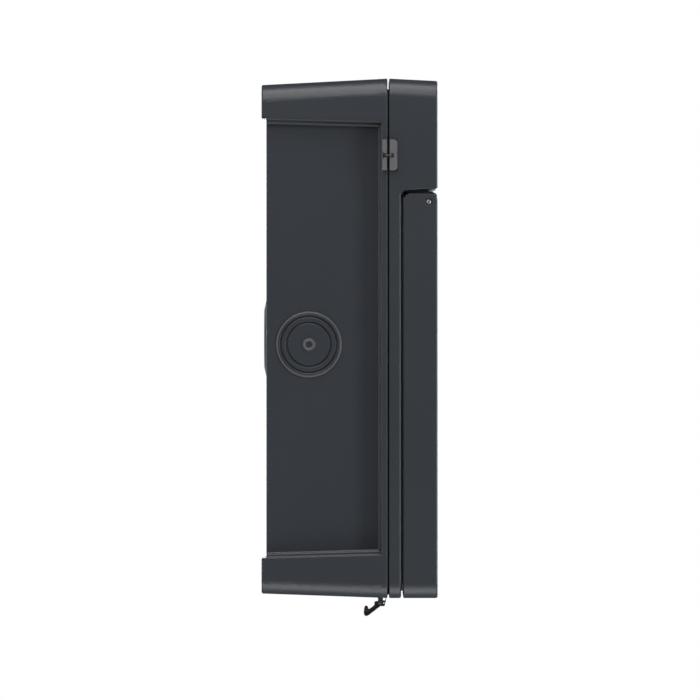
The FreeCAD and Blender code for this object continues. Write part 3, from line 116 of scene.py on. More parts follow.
# %% Light and floor
LIGHTS = (
    # name, place, width, height, watts
    ("over_flank", (-0.27, -0.04, 0.72), 1.0, 0.38, 4.6),
    ("under_flank", (-0.18, -0.04, -0.46), 0.8, 0.28, 1.7),
    ("flank_fill", (-1.3, 0.15, 0.95), 0.9, 0.9, 8.5),
    ("front_fill", (0.95, -1.35, 0.45), 1.0, 1.0, 26.0),
    ("edge_light", (-0.9, -1.4, 0.05), 0.4, 1.3, 14.0),
    ("far_fill", (1.6, -0.05, 0.0), 1.4, 0.5, 14.0),
    ("back_fill", (0.0, 1.6, 0.2), 1.2, 0.8, 9.0),
)
for name, place, width, height, watts in LIGHTS:
    lamp_data = bpy.data.lights.new(name, "AREA")
    lamp_data.shape = "RECTANGLE"
    lamp_data.size = width
    lamp_data.size_y = height
    lamp_data.energy = watts
    lamp = bpy.data.objects.new(name, lamp_data)
    lamp.location = place
    lamp.visible_camera = False
    aim(lamp, (0, front_y / 2, 0))
    bpy.context.scene.collection.objects.link(lamp)

world = bpy.data.worlds.new("studio")
bpy.context.scene.world = world
world.use_nodes = True
sky = world.node_tree
seen = sky.nodes.new("ShaderNodeLightPath")
white = sky.nodes["Background"]
white.inputs["Color"].default_value = (1, 1, 1, 1)
white.inputs["Strength"].default_value = 1.0
dim = sky.nodes.new("ShaderNodeBackground")
dim.inputs["Color"].default_value = (0.9, 0.95, 1, 1)
dim.inputs["Strength"].default_value = 0.05
choose = sky.nodes.new("ShaderNodeMixShader")
sky.links.new(seen.outputs["Is Camera Ray"], choose.inputs[0])
sky.links.new(dim.outputs[0], choose.inputs[1])
sky.links.new(white.outputs[0], choose.inputs[2])
sky.links.new(choose.outputs[0], sky.nodes["World Output"].inputs["Surface"])
bpy.context.scene.view_settings.view_transform = "Standard"

FLOOR_HALF = 1.2
FLOOR_Z = -0.5
floor_mesh = bpy.data.meshes.new("floor")
floor_mesh.from_pydata([(-FLOOR_HALF, -FLOOR_HALF, FLOOR_Z), (FLOOR_HALF, -FLOOR_HALF, FLOOR_Z),
                        (FLOOR_HALF, FLOOR_HALF, FLOOR_Z), (-FLOOR_HALF, FLOOR_HALF, FLOOR_Z)], [], [(0, 1, 2, 3)])
floor = bpy.data.objects.new("floor", floor_mesh)
bpy.context.scene.collection.objects.link(floor)
floor.visible_glossy = False
print("lights:", len(LIGHTS))

# %% [markdown]
# ## Shared shader effects
# Moulded plastic is not one flat colour. A spark-eroded mould leaves a fine even grain, the colour drifts a
# little across a large wall, and handling polishes it in soft patches. These effects serve many finishes, so
# each one is a node group with named inputs, placed in a material with that material's own values.

# %% Shared shader effects
SOCKETS = {"value": "NodeSocketFloat", "colour": "NodeSocketColor", "vector": "NodeSocketVector"}


def new_group(name, inputs, outputs):
    """An empty node group with its sockets: returns the group, its input node and its output node."""
    group = bpy.data.node_groups.new(name, "ShaderNodeTree")
    for label, kind, start in inputs:
        socket = group.interface.new_socket(label, in_out="INPUT", socket_type=SOCKETS[kind])
        if start is not None:
            socket.default_value = start
    for label, kind in outputs:
        group.interface.new_socket(label, in_out="OUTPUT", socket_type=SOCKETS[kind])
    return group, group.nodes.new("NodeGroupInput"), group.nodes.new("NodeGroupOutput")


def add(tree, kind, **values):
    """A node with some of its properties and inputs set. Inputs are given by name, with _ for a space."""
    node = tree.nodes.new(kind)
    for name, value in values.items():
        label = name.replace("_", " ")
        if hasattr(node, name):
            setattr(node, name, value)
        else:
            node.inputs[label].default_value = value
    return node


def mould_grain_group():
    """Fine grain for a bump, with slow drifts for roughness and colour."""
    group, given, out = new_group(
        "mould_grain",
        [("Colour", "colour", (0.05, 0.05, 0.05, 1)), ("Grain Size", "value", 0.0004),
         ("Drift", "value", 0.06), ("Roughness", "value", 0.5), ("Polish", "value", 0.06)],
        [("Colour", "colour"), ("Roughness", "value"), ("Height", "value")])
    place = add(group, "ShaderNodeTexCoord")
    per_metre = add(group, "ShaderNodeMath", operation="DIVIDE")
    per_metre.inputs[0].default_value = 1.0
    group.links.new(given.outputs["Grain Size"], per_metre.inputs[1])
    fine = add(group, "ShaderNodeTexNoise", Detail=3.0, Roughness=0.6)
    group.links.new(place.outputs["Object"], fine.inputs["Vector"])
    group.links.new(per_metre.outputs[0], fine.inputs["Scale"])
    slow = add(group, "ShaderNodeTexNoise", Scale=14.0, Detail=2.0)
    group.links.new(place.outputs["Object"], slow.inputs["Vector"])
    shade = add(group, "ShaderNodeMapRange")
    group.links.new(slow.outputs["Fac"], shade.inputs["Value"])
    low = add(group, "ShaderNodeMath", operation="SUBTRACT")
    low.inputs[0].default_value = 1.0
    group.links.new(given.outputs["Drift"], low.inputs[1])
    high = add(group, "ShaderNodeMath", operation="ADD")
    high.inputs[0].default_value = 1.0
    group.links.new(given.outputs["Drift"], high.inputs[1])
    group.links.new(low.outputs[0], shade.inputs["To Min"])
    group.links.new(high.outputs[0], shade.inputs["To Max"])
    tint = add(group, "ShaderNodeVectorMath", operation="SCALE")
    group.links.new(given.outputs["Colour"], tint.inputs[0])
    group.links.new(shade.outputs["Result"], tint.inputs["Scale"])
    group.links.new(tint.outputs[0], out.inputs["Colour"])
    centred = add(group, "ShaderNodeMath", operation="SUBTRACT")
    centred.inputs[1].default_value = 0.5
    group.links.new(slow.outputs["Fac"], centred.inputs[0])
    rough = add(group, "ShaderNodeMath", operation="MULTIPLY_ADD")
    group.links.new(centred.outputs[0], rough.inputs[0])
    group.links.new(given.outputs["Polish"], rough.inputs[1])
    group.links.new(given.outputs["Roughness"], rough.inputs[2])
    group.links.new(rough.outputs[0], out.inputs["Roughness"])
    group.links.new(fine.outputs["Fac"], out.inputs["Height"])
    return group


def brushed_group():
    """Fine scratches along one axis, for brushed or turned metal."""
    group, given, out = new_group(
        "brushed",
        [("Colour", "colour", (0.6, 0.6, 0.6, 1)), ("Stretch", "vector", (4000.0, 4000.0, 120.0)),
         ("Roughness", "value", 0.3), ("Depth", "value", 0.12)],
        [("Colour", "colour"), ("Roughness", "value"), ("Height", "value")])
    place = add(group, "ShaderNodeTexCoord")
    stretched = add(group, "ShaderNodeVectorMath", operation="MULTIPLY")
    group.links.new(place.outputs["Object"], stretched.inputs[0])
    group.links.new(given.outputs["Stretch"], stretched.inputs[1])
    scratch = add(group, "ShaderNodeTexNoise", Scale=1.0, Detail=2.0)
    group.links.new(stretched.outputs[0], scratch.inputs["Vector"])
    rough = add(group, "ShaderNodeMath", operation="MULTIPLY_ADD")
    group.links.new(scratch.outputs["Fac"], rough.inputs[0])
    group.links.new(given.outputs["Depth"], rough.inputs[1])
    group.links.new(given.outputs["Roughness"], rough.inputs[2])
    shade = add(group, "ShaderNodeMapRange")
    shade.inputs["To Min"].default_value = 0.86
    shade.inputs["To Max"].default_value = 1.08
    group.links.new(scratch.outputs["Fac"], shade.inputs["Value"])
    tint = add(group, "ShaderNodeVectorMath", operation="SCALE")
    group.links.new(given.outputs["Colour"], tint.inputs[0])
    group.links.new(shade.outputs["Result"], tint.inputs["Scale"])
    group.links.new(tint.outputs[0], out.inputs["Colour"])
    group.links.new(rough.outputs[0], out.inputs["Roughness"])
    group.links.new(scratch.outputs["Fac"], out.inputs["Height"])
    return group


MOULD_GRAIN = mould_grain_group()
BRUSHED = brushed_group()
print("shader groups:", MOULD_GRAIN.name, BRUSHED.name)

# %% [markdown]
# ## Finishes
# Each finish is a Principled shader fed by one of the shared groups. The case is a blue-grey anthracite
# plastic with a satin grain. Its roughness decides how wide the light band on the rounded edges is, so it was
# chosen first, and then the grain height, which breaks that band up a little.

# %% Finishes
BUMP_REACH = 0.0002


def material(name, group, settings, bump=0.1, **shader_values):
    """A Principled material whose colour, roughness and bump come from a shared group."""
    item = bpy.data.materials.new(name)
    item.use_nodes = True
    tree = item.node_tree
    shader = tree.nodes["Principled BSDF"]
    effect = tree.nodes.new("ShaderNodeGroup")
    effect.node_tree = group
    for label, value in settings.items():
        effect.inputs[label].default_value = value
    tree.links.new(effect.outputs["Colour"], shader.inputs["Base Color"])
    tree.links.new(effect.outputs["Roughness"], shader.inputs["Roughness"])
    relief = tree.nodes.new("ShaderNodeBump")
    relief.inputs["Strength"].default_value = bump
    relief.inputs["Distance"].default_value = BUMP_REACH
    tree.links.new(effect.outputs["Height"], relief.inputs["Height"])
    tree.links.new(relief.outputs["Normal"], shader.inputs["Normal"])
    for label, value in shader_values.items():
        shader.inputs[label.replace("_", " ")].default_value = value
    return item


def plastic(name, colour, rough, size=0.0005, drift=0.05, bump=0.1, **values):
    settings = {"Colour": (*colour, 1), "Grain Size": size, "Drift": drift, "Roughness": rough, "Polish": 0.08}
    return material(name, MOULD_GRAIN, settings, bump, **values)


def metal(name, colour, rough, stretch=(900.0, 900.0, 6000.0), depth=0.15, bump=0.05, **values):
    settings = {"Colour": (*colour, 1), "Stretch": stretch, "Roughness": rough, "Depth": depth}
    return material(name, BRUSHED, settings, bump, Metallic=1.0, **values)


FINISHES = {
    "dull_brass": metal("dull_brass", (0.10, 0.09, 0.075), 0.5),
    # scored_plastic is paler than the case; on the knockouts' pip and lip this paler colour paints the highlights
    # on their rounded tops.
    "scored_plastic": plastic("scored_plastic", (0.082, 0.083, 0.088), 0.5, 0.00045, 0.05, 0.16),
    "case_plastic": plastic("case_plastic", (0.0275, 0.0315, 0.0385), 0.36, 0.00045, 0.05, 0.16),
    # lug_plastic is a paler grey than the case: it paints as colour the light caught by the seal lugs' sloping
    # faces.
    "lug_plastic": plastic("lug_plastic", (0.105, 0.105, 0.112), 0.5, 0.0004, 0.05, 0.12),
    "black_rubber": plastic("black_rubber", (0.018, 0.018, 0.019), 0.72, 0.0006, 0.1, 0.2),
    "catch_plastic": plastic("catch_plastic", (0.032, 0.030, 0.024), 0.5, 0.0004, 0.08, 0.15),
    "brass": metal("brass", (0.72, 0.53, 0.24), 0.25),
    "steel": metal("steel", (0.58, 0.57, 0.56), 0.28),
    "lock_metal": metal("lock_metal", (0.50, 0.50, 0.52), 0.24, (5000.0, 5000.0, 300.0)),
    "smoked_window": plastic("smoked_window", (0.006, 0.006, 0.007), 0.06, 0.002, 0.02, 0.004, Coat_Weight=1.0),
    "lens_glass": plastic("lens_glass", (0.01, 0.012, 0.02), 0.03, 0.002, 0.02, 0.0, Coat_Weight=1.0),
    "black_plastic": plastic("black_plastic", (0.018, 0.018, 0.02), 0.5),
    "board_green": plastic("board_green", (0.02, 0.085, 0.04), 0.35, 0.0008, 0.12, 0.08),
    "diode_clear": plastic("diode_clear", (0.72, 0.74, 0.76), 0.15),
    "diffuser": plastic("diffuser", (0.50, 0.51, 0.52), 0.38, 0.0006, 0.02, 0.05, Subsurface_Weight=0.2),
    "flex_amber": plastic("flex_amber", (0.40, 0.17, 0.03), 0.3, 0.001, 0.08),
    "terminal_green": plastic("terminal_green", (0.02, 0.19, 0.09), 0.4),
    "battery_sleeve": plastic("battery_sleeve", (0.05, 0.09, 0.22), 0.25, 0.001, 0.05),
    "bell_cap": metal("bell_cap", (0.30, 0.30, 0.31), 0.30, (5000.0, 5000.0, 400.0)),
    "name_clear": plastic("name_clear", (0.40, 0.41, 0.42), 0.08, 0.002, 0.01, 0.0, Coat_Weight=1.0),
    "card": plastic("card", (0.80, 0.79, 0.76), 0.8, 0.0003, 0.03, 0.1),
    "reset_red": plastic("reset_red", (0.42, 0.02, 0.02), 0.4),
}
slot_of = {entry["node"]: entry["material_slot"] for entry in frame["record"]["subparts"]}


def finish_with(item, slot_name):
    """Gives a piece the finish of one of the record's slots."""
    item.data.materials.clear()
    item.data.materials.append(FINISHES[slot_name])


for name, node in nodes.items():
    finish_with(node, slot_of[name])
nodes["seal_links"].data.materials[0] = FINISHES["dull_brass"]

floor_finish = plastic("floor_paint", (0.80, 0.80, 0.80), 0.7, 0.004, 0.01, 0.02)
floor_mesh.materials.append(floor_finish)

# %% [markdown]
# ## Moulded pieces with rounded edges
# No moulded edge is truly sharp: the mould has a small radius everywhere, and that radius is what draws the
# thin light lines along the case. The engineering pieces have their shape right but their small edges sharp. A
# copy of each is merged and cut into cells by planes through its hole centres, so that no flat face has a hole
# in it or long thin corners, the cells are made single faces, and then a bevel rounds what is left.

# %% Moulded pieces
MERGE = 1e-6
FLAT_ANGLE = math.radians(0.4)
EDGE_ANGLE = math.radians(28)
CELL_PLANES = {
    # millimetres: an even spacing, then the centres of the holes
    "x": (*range(-48, 49, 12), -40, 40, -42, 42, -32, 32, -30, 30, -3.8, 3.8, 6, -6),
    "y": (-2.2, -10, -21.5, -32, -42, -54.05, -59.5, -72, -75.9, -78.6),
    "z": (*range(-108, 109, 12), -2.8, 2, 61.9, 83, 95, 74.5, 45, 32, 76, 101, 103, -103, -104.5, -67,
          -48, -42.8, -53.2, -37.6, -58.4, -18, 56, -121.35),
}


def cut_into_cells(work):
    """Cuts a mesh along every cell plane and marks the cuts, so that dissolving keeps them."""
    for axis, letter in enumerate("xyz"):
        normal = [0, 0, 0]
        normal[axis] = 1
        for place in CELL_PLANES[letter]:
            point = [0, 0, 0]
            point[axis] = place * MM
            found = bmesh.ops.bisect_plane(work, geom=work.verts[:] + work.edges[:] + work.faces[:],
                                           dist=MERGE, plane_co=point, plane_no=normal)
            for part in found["geom_cut"]:
                if isinstance(part, bmesh.types.BMEdge):
                    part.seam = True


print("cell planes:", sum(len(places) for places in CELL_PLANES.values()))


# %% [markdown]
# ## Rounded edges
# A bevel of a fixed width would swallow the fine score lines and the catch's cheeks, so each edge has a weight.
# The weight comes from the zone that the edge lies in: less than the piece's radius in the fine zones, more on
# the long edges beside the flap and round the recess. Weighted normals keep the flat walls flat.

# %% Rounded edges
WIDEST = 0.8 * MM
EDGE_STEPS = 3
FLAT_FACE_WEIGHT = 90
EDGE_ZONES = (
    # low corner, high corner (millimetres, x taken without its sign), share of the piece's edge radius
    ((0, -4, 112), (2, 0.1, 118.1), 0),
    ((58, -64.5, -118.1), (60.1, -62.5, 66), 2.2),
    ((58, -79, 66), (60.1, -64.5, 68), 2.2),
    ((51, -56, -100), (58, 0, 100), 1.5),
    ((49, -38, -19), (57, -5, 14), 0.3),
    ((57.5, -63, 75), (63, -54, 92), 0.3),
    ((49, -80.1, 57), (61, -62, 69.5), 0.35),
    ((0, -58, -128), (6, -52, -117.9), 0.35),
    ((0, -64, -110), (47, -60, 41), 0.5),
)


def edge_shares(mesh):
    """How much of its piece's edge radius each edge gets, by the zone that its middle lies in."""
    ends = np.empty(len(mesh.edges) * 2, dtype=np.int32)
    mesh.edges.foreach_get("vertices", ends)
    points = np.empty(len(mesh.vertices) * 3)
    mesh.vertices.foreach_get("co", points)
    middle = points.reshape(-1, 3)[ends.reshape(-1, 2)].mean(axis=1) / MM
    middle[:, 0] = np.abs(middle[:, 0])
    share = np.ones(len(mesh.edges))
    for low, high, part in EDGE_ZONES:
        inside = np.all((middle > low) & (middle < high), axis=1)
        share[inside] = part
    return share


def add_edge(item, radius):
    """The bevel that rounds a piece's sharp edges, and normals that keep its flats flat."""
    edge = item.modifiers.new("edge", "BEVEL")
    edge.width = radius
    edge.segments = EDGE_STEPS
    edge.limit_method = "ANGLE"
    edge.angle_limit = EDGE_ANGLE
    edge.use_clamp_overlap = False
    even = item.modifiers.new("even", "WEIGHTED_NORMAL")
    even.mode = "FACE_AREA"
    even.weight = FLAT_FACE_WEIGHT
    return edge


def join_frame(item, node_name, replaces=True):
    """Puts a new piece on its node's body, with that node's finish, and lets it stand for the node."""
    finish_with(item, slot_of[node_name])
    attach(item, nodes[node_name]["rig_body"])
    if replaces:
        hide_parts(node_name)


def rounded_copy(node_name, radius):
    """A copy of a CAD node with every sharp edge rounded, which stands for that node."""
    mesh = nodes[node_name].data.copy()
    work = bmesh.new()
    work.from_mesh(mesh)
    bmesh.ops.remove_doubles(work, verts=work.verts, dist=MERGE)
    cut_into_cells(work)
    bmesh.ops.dissolve_limit(work, angle_limit=FLAT_ANGLE, verts=work.verts, edges=work.edges,
                             delimit={"NORMAL", "SEAM"})
    sharp = np.array([edge.is_manifold and edge.calc_face_angle() > EDGE_ANGLE for edge in work.edges])
    work.to_mesh(mesh)
    work.free()
    weights = mesh.attributes.new("bevel_weight_edge", "FLOAT", "EDGE")
    weights.data.foreach_set("value", (edge_shares(mesh) * sharp * radius / WIDEST).astype(np.float32))
    item = bpy.data.objects.new("moulded_" + node_name, mesh)
    bpy.context.scene.collection.objects.link(item)
    mesh.shade_smooth()
    add_edge(item, WIDEST).limit_method = "WEIGHT"
    join_frame(item, node_name)
    return item


ROUNDED = {
    "back_box": 0.4, "front_cover": 0.35, "flap_shell": 0.35,
    "seal_lug_box_left": 0.25, "seal_lug_box_right": 0.25, "seal_lug_cover_left": 0.25,
    "seal_lug_cover_right": 0.25, "camera_window": 0.3, "name_window": 0.25,
    "lock_keeper": 0.3, "motion_lens": 0.3, "lock_plug": 0.15, "service_cap": 0.3,
}
for name, radius in ROUNDED.items():
    piece = rounded_copy(name, radius * MM)
    print(name, len(piece.data.vertices), "points before the bevel")

# %% [markdown]
# ## Turned pieces
# The lens, its ring, the bell button, its lit ring, the lock's face, the hinge pins, the rubber membrane and
# the knockouts are all round. A lathe makes such a thing from one outline, and so does this surface: its two
# parameters are the place along the outline and the angle round the axis. A spun curve with a Screw modifier
# would look the same, but an outline in a short table is easier to read and to check against a drawing.

# %% Turned pieces
DOME_POINTS = 10
AXES = {"out": ((1, 0, 0), (0, 0, 1), (0, -1, 0)), "left": ((0, 1, 0), (0, 0, 1), (-1, 0, 0)),
        "right": ((0, 1, 0), (0, 0, 1), (1, 0, 0))}


def mesh_piece(name, points, faces):
    """A closed mesh from arrays, with doubles merged and faces turned outwards."""
    mesh = bpy.data.meshes.new(name)
    mesh.from_pydata(points.tolist(), [], faces.tolist())
    work = bmesh.new()
    work.from_mesh(mesh)
    bmesh.ops.remove_doubles(work, verts=work.verts, dist=MERGE)
    bmesh.ops.delete(work, geom=[edge for edge in work.edges if edge.is_wire], context="EDGES")
    bmesh.ops.recalc_face_normals(work, faces=work.faces)
    work.to_mesh(mesh)
    work.free()
    mesh.shade_smooth()
    item = bpy.data.objects.new(name, mesh)
    bpy.context.scene.collection.objects.link(item)
    return item


def grid_faces(rows, columns, wrap_rows=True, wrap_columns=True):
    """Quads between neighbours on a grid of points, closed on itself where asked."""
    row = np.arange(rows if wrap_rows else rows - 1)[:, None]
    column = np.arange(columns if wrap_columns else columns - 1)[None, :]
    below = (row + 1) % rows
    beside = (column + 1) % columns
    corners = (row * columns + column, row * columns + beside, below * columns + beside, below * columns + column)
    return np.stack(corners, axis=-1).reshape(-1, 4)


def turned(name, outline, centre, axis="out", steps=96):
    """A closed outline of (radius, reach) carried round an axis.
    point = centre + radius * (cos angle * across + sin angle * up) + reach * axis."""
    across, up, along = (np.array(direction, dtype=float) for direction in AXES[axis])
    radius, reach = np.array(outline, dtype=float).T[:, :, None, None]
    angle = np.linspace(0, 2 * np.pi, steps, endpoint=False)[None, :, None]
    spoke = np.cos(angle) * across + np.sin(angle) * up
    points = (np.array(centre, dtype=float) + radius * spoke + reach * along) * MM
    return mesh_piece(name, points.reshape(-1, 3), grid_faces(len(outline), steps))


def dome(radius, ball, top):
    """Points of a ball's cap, from its edge to its middle: reach = top - ball + sqrt(ball^2 - radius^2)."""
    out = np.linspace(radius, 0, DOME_POINTS)
    reach = top - ball + np.sqrt(ball * ball - out * out)
    return list(zip(out, reach))


print("axes that a piece can be turned round:", ", ".join(AXES))

# %% [markdown]
# ## Lens, button, lock and other turned parts
# Each outline goes once round the part's section, as on a turner's drawing: how far from the axis, and how far
# along it. Lips and steps that other parts sit against keep the engineering model's sizes, and the rest, such
# as the dished bell cap and the rolled edge of the speaker cone, is what such parts look like.

# %% Turned parts
BELL = (0, 0, 2)
EYE = (0, 0, 95)
TURNED = (
    # name, node it stands for, edge radius, centre, axis, outline of (radius, reach)
    ("bell_cap_dish", "bell_button_cap", 0.3, BELL, "out",
     [(0, 78.5), (4, 78.55), (8, 78.75), (12, 79.1), (14.5, 79.3), (15.2, 79.4), (17, 79.4), (17, 76), (3, 76),
      (3, 66.5), (2, 66.5), (2, 69), (0, 69)]),
    ("lit_ring", "light_guide", 0.35, BELL, "out",
     [(17.3, 65.4), (17.3, 79.6), (20.5, 79.6), (20.5, 77.6), (24, 77.6), (24, 76.2), (20.5, 76.2), (20.5, 65.4)]),
    ("lens_front", "camera_lens", 0.1, EYE, "out", [(0, 75), (7.2, 75), *dome(7.2, 14, 79.5)]),
    ("lens_ring", "lens_bezel", 0.12, EYE, "out",
     [(7.2, 77.4), (7.2, 78.5), (7.8, 78.5), (7.8, 79), (8.4, 79), (8.4, 79.4), (8.8, 79.8), (9.6, 79.8),
      (9.6, 78.6), (11, 78.6), (11, 77.4)]),
    ("lock_face", "lock_body", 0.25, (0, 0, -96), "out",
     [(4.3, 67.4), (4.3, 79.1), (5, 79.4), (8.8, 79.4), (9.3, 79.8), (10.3, 79.8), (10.3, 78.6), (7, 78.6),
      (7, 67.4)]),
    ("hinge_pin_end_left", "hinge_pin_left", 0.1, (0, -75.9, 61.9), "left",
     [(0, 50.5), (1.2, 50.5), (1.2, 59.15), (1.05, 59.4), (0.75, 59.58), (0.6, 59.6), (0.6, 58.4), (0, 58.4)]),
    ("hinge_pin_end_right", "hinge_pin_right", 0.1, (0, -75.9, 61.9), "right",
     [(0, 50.5), (1.2, 50.5), (1.2, 59.15), (1.05, 59.4), (0.75, 59.58), (0.6, 59.6), (0.6, 58.4), (0, 58.4)]),
    ("ribbed_membrane", "rear_membrane", 0.25, (0, 0, 0), "out",
     [(0, 1.3), (4, 1.3), (4.3, 1.7), (5, 1.7), (5.3, 1.3), (8.6, 1.3), (8.9, 1.7), (9.6, 1.7), (9.9, 1.3),
      (12.4, 1.3), (13, 0.9), (19, 2.2), (15, 2.2), (15, 5), (18, 5), (18, 6.4), (13, 6.4), (12, 4.4), (0, 4.4)]),
    ("coned_speaker", "speaker", 0.2, (0, 0, -48), "out",
     [(0, 60.2), (2.6, 60), (4.6, 59.3), (5, 59.1), (12.4, 59.6), (13, 60.1), (14, 60.4), (15, 60.1), (15.6, 59.6),
      (16, 59.6), (16, 60.5), (20, 60.5), (20, 56), (11, 56), (11, 46), (0, 46)]),
    ("reset_plunger", "reset_button", 0.2, (32, 0, 32), "out",
     [(0, 58.9), (2.2, 58.9), (2.2, 59.9), (3.2, 59.9), (3.2, 60.9), (2.2, 60.9), (2.2, 63), (1.5, 63), (1.2, 62.8),
      (0, 62.7)]),
)
for name, node_name, radius, centre, axis, outline in TURNED:
    piece = turned(name, outline, centre, axis)
    add_edge(piece, radius * MM)
    join_frame(piece, node_name)
print("turned pieces:", len(TURNED))

# %% [markdown]
# ## Knockouts
# Each flank has one place where a cable entry can be knocked out. Two round score lines leave the wall thin,
# for two sizes of gland, and a pip in the middle guides the drill. A turned disc lies over the box's own plain
# score lines and gives them rounded lips. The pip and the outer lip are given a paler plastic, which paints the
# highlights on their rounded tops.

# %% Knockouts
PIP = [(1.35, 0.7), (1.5, 0.95), (1.75, 1.2), (2.2, 1.3), (2.65, 1.2), (2.9, 0.95), (3.05, 0.7)]
LIP = [(14.0, 0.35), (14.1, 0.5), (14.4, 0.6), (14.75, 0.5), (14.85, 0.35)]
KNOCKOUT = [(0, 0.74), (9.45, 0.74),
            (9.5, -0.06), (10.5, -0.06), (10.55, 0.74), (12.2, 0.74), (12.25, -0.06), (13.25, -0.06), (13.3, 0.74),
            (13.94, 0.74), (14.0, 0.39), (15.04, 0.39), (15.1, -0.3), (0, -0.3)]
LIP_RADIUS = 0.14 * MM
for side, floor_x in (("left", -53), ("right", 53)):
    centre = (floor_x, -21.5, -2.8)
    piece = turned("knockout_" + side, KNOCKOUT, centre, side, steps=128)
    add_edge(piece, LIP_RADIUS)
    join_frame(piece, "back_box", replaces=False)
    for ring_name, ring in (("pip_", PIP), ("lip_", LIP)):
        piece = turned(ring_name + side, ring, centre, side)
        join_frame(piece, "back_box", replaces=False)
        # the paler finish on the pip and the lip is a painted highlight on their rounded tops
        piece.data.materials.clear()
        piece.data.materials.append(FINISHES["scored_plastic"])
print("knockout radius", KNOCKOUT[-2][0], "mm")

# %% [markdown]
# ## Catch
# The catch under the box is a small moulded hook: an arm, an upturned end and a round nub by the pin, all with
# a rim round a thinner web. Its side view is one outline. The outline is carried across the hook, drawn in by
# the rim's width, and carried back to the web, so the whole hook is one closed grid with a cap on each side.

# %% Catch
HOOK = np.array([
    # depth and height of the hook's side view, millimetres
    (54.9, -122.1), (55.35, -121.35), (54.9, -120.5), (54.05, -120.15), (53.2, -120.3), (52.75, -120.45),
    (52.2, -120.3), (51.6, -120.55), (51.3, -121.1), (51.45, -121.9), (51.0, -122.5), (49.9, -123.3),
    (48.9, -124.0), (48.55, -123.8), (48.5, -123.2), (48.2, -122.6), (47.6, -122.45), (47.0, -122.6),
    (46.75, -123.1), (46.5, -125.0), (46.5, -126.0), (46.8, -126.8), (47.5, -127.2), (48.3, -127.1),
    (50.2, -125.7), (53.0, -123.5)])


CORNER_CUTS = 3


def smooth_loop(corners):
    """Cuts each corner of a closed line at a quarter of its sides, a few times over."""
    line = corners
    for _ in range(CORNER_CUTS):
        after = np.roll(line, -1, axis=0)
        line = np.stack([0.75 * line + 0.25 * after, 0.25 * line + 0.75 * after], axis=1).reshape(-1, 2)
    return line


def drawn_in(line, distance):
    """A closed line moved towards its inside by a distance, along each point's normal."""
    run = np.roll(line, -1, axis=0) - np.roll(line, 1, axis=0)
    normal = np.stack([-run[:, 1], run[:, 0]], axis=1) / np.linalg.norm(run, axis=1)[:, None]
    area = np.sum(line[:, 0] * np.roll(line[:, 1], -1) - line[:, 1] * np.roll(line[:, 0], -1))
    return line + normal * distance * np.sign(area)


HOOK_HALF = 3.2
WEB_HALF = 2.5
RIM_WIDTH = 0.5
RIM_ROUND = 0.12
side_view = smooth_loop(HOOK)
rim_line = drawn_in(side_view, RIM_WIDTH)
loops = [(rim_line, -WEB_HALF), (rim_line, -HOOK_HALF), (side_view, -HOOK_HALF + RIM_ROUND),
         (side_view, HOOK_HALF - RIM_ROUND), (rim_line, HOOK_HALF), (rim_line, WEB_HALF)]
hook_points = np.concatenate([np.column_stack([np.full(len(line), x), -line[:, 0], line[:, 1]])
                              for line, x in loops]) * MM
count = len(side_view)
hook_faces = grid_faces(len(loops), count, wrap_rows=False).tolist()
hook_faces += [list(range(count)), list(range((len(loops) - 1) * count, len(loops) * count))]
hook_mesh = bpy.data.meshes.new("catch_hook")
hook_mesh.from_pydata(hook_points.tolist(), [], hook_faces)
work = bmesh.new()
work.from_mesh(hook_mesh)
bmesh.ops.recalc_face_normals(work, faces=work.faces)
work.to_mesh(hook_mesh)
work.free()
hook = bpy.data.objects.new("catch_hook", hook_mesh)
bpy.context.scene.collection.objects.link(hook)
join_frame(hook, "catch_lever")
print("hook outline points", count)

# %% [markdown]
# ## Wires and the return spring
# Both are wire. A wire is a small circle carried along a path, so one function serves: the path is a helix for
# the button's return spring, and a row of shallow waves for the cloth behind the speaker slots. Curve objects
# with a bevel would do as well, but hundreds of short wires are lighter as one mesh with few sides.

# %% Wires and the return spring
TIP_SHARE = 0.02


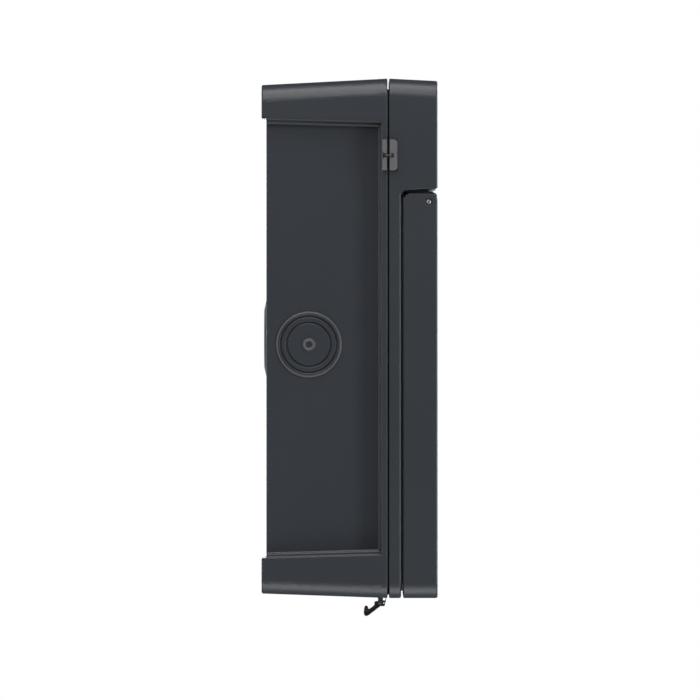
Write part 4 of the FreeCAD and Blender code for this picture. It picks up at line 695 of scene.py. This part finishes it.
def wires(name, paths, radius, sides):
    """Round wires along paths: point = path + radius * (cos angle * first normal + sin angle * second).
    Each path is an array of points; the ends are closed by drawing the last ring to its middle."""
    run = np.gradient(paths, axis=1)
    run /= np.linalg.norm(run, axis=2)[..., None]
    lean = np.where(np.abs(run[..., 1:2]) > 0.9, [1.0, 0, 0], [0, 1.0, 0])
    first = np.cross(run, lean)
    first /= np.linalg.norm(first, axis=2)[..., None]
    second = np.cross(run, first)
    angle = np.linspace(0, 2 * np.pi, sides, endpoint=False)[:, None]
    ring = np.cos(angle) * first[:, :, None] + np.sin(angle) * second[:, :, None]
    size = np.full((paths.shape[1], 1, 1), radius)
    size[[0, -1]] = radius * TIP_SHARE
    points = paths[:, :, None] + size * ring
    faces = grid_faces(paths.shape[1], sides, wrap_rows=False)
    step = paths.shape[1] * sides
    all_faces = (faces[None] + step * np.arange(len(paths))[:, None, None]).reshape(-1, 4)
    return mesh_piece(name, points.reshape(-1, 3) * MM, all_faces)


COIL_TURNS = 4.5
COIL_RADIUS = 5.3
COIL_REAR = 71.6
COIL_LENGTH = 3.9
COIL_WIRE = 0.5
share = np.linspace(0, 1, 220)
turn = 2 * np.pi * COIL_TURNS * share
coil_path = np.stack([COIL_RADIUS * np.cos(turn), -(COIL_REAR + COIL_LENGTH * share),
                      BELL[2] + COIL_RADIUS * np.sin(turn)], axis=-1)[None]
spring = wires("return_spring", coil_path, COIL_WIRE, 10)
join_frame(spring, "bell_spring")
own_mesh(spring)
print("spring points", len(spring.data.vertices))

# %% [markdown]
# ## Speaker cloth
# The cloth behind the slots is woven wire. Each wire is a wave that passes over one crossing wire and under the
# next, and its neighbour does the opposite, so the two sets of wires lock as a real weave does.

# %% Speaker cloth
PITCH = 1.25
WAVE = 0.12
WIRE = 0.11
mesh_low, mesh_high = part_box("speaker_mesh")
half_x = mesh_high.x / MM - WIRE
low_z, high_z = mesh_low.z / MM + WIRE, mesh_high.z / MM - WIRE
cloth_y = (mesh_low.y + mesh_high.y) / 2 / MM
rows = np.arange(low_z, high_z, PITCH)
columns = np.arange(-half_x, half_x, PITCH)
along_x = np.linspace(-half_x, half_x, 4 * len(columns))
along_z = np.linspace(low_z, high_z, 4 * len(rows))


def weft(places, along, flip):
    """Waves over and under the crossing wires, each row half a wave behind the last."""
    phase = np.pi * np.arange(len(places))[:, None] + flip
    return WAVE * np.sin(np.pi * (along[None] - along[0]) / PITCH + np.pi / 2 + phase)


across = np.stack(np.broadcast_arrays(along_x[None], cloth_y + weft(rows, along_x, 0), rows[:, None]), axis=-1)
upright = np.stack(np.broadcast_arrays(columns[:, None], cloth_y + weft(columns, along_z, np.pi), along_z[None]),
                   axis=-1)
cloth = wires("speaker_cloth", across, WIRE, 4)
cloth_upright = wires("speaker_cloth_upright", upright, WIRE, 4)
join_frame(cloth, "speaker_mesh")
join_frame(cloth_upright, "speaker_mesh", replaces=False)
print("speaker cloth wires", len(rows), "by", len(columns))
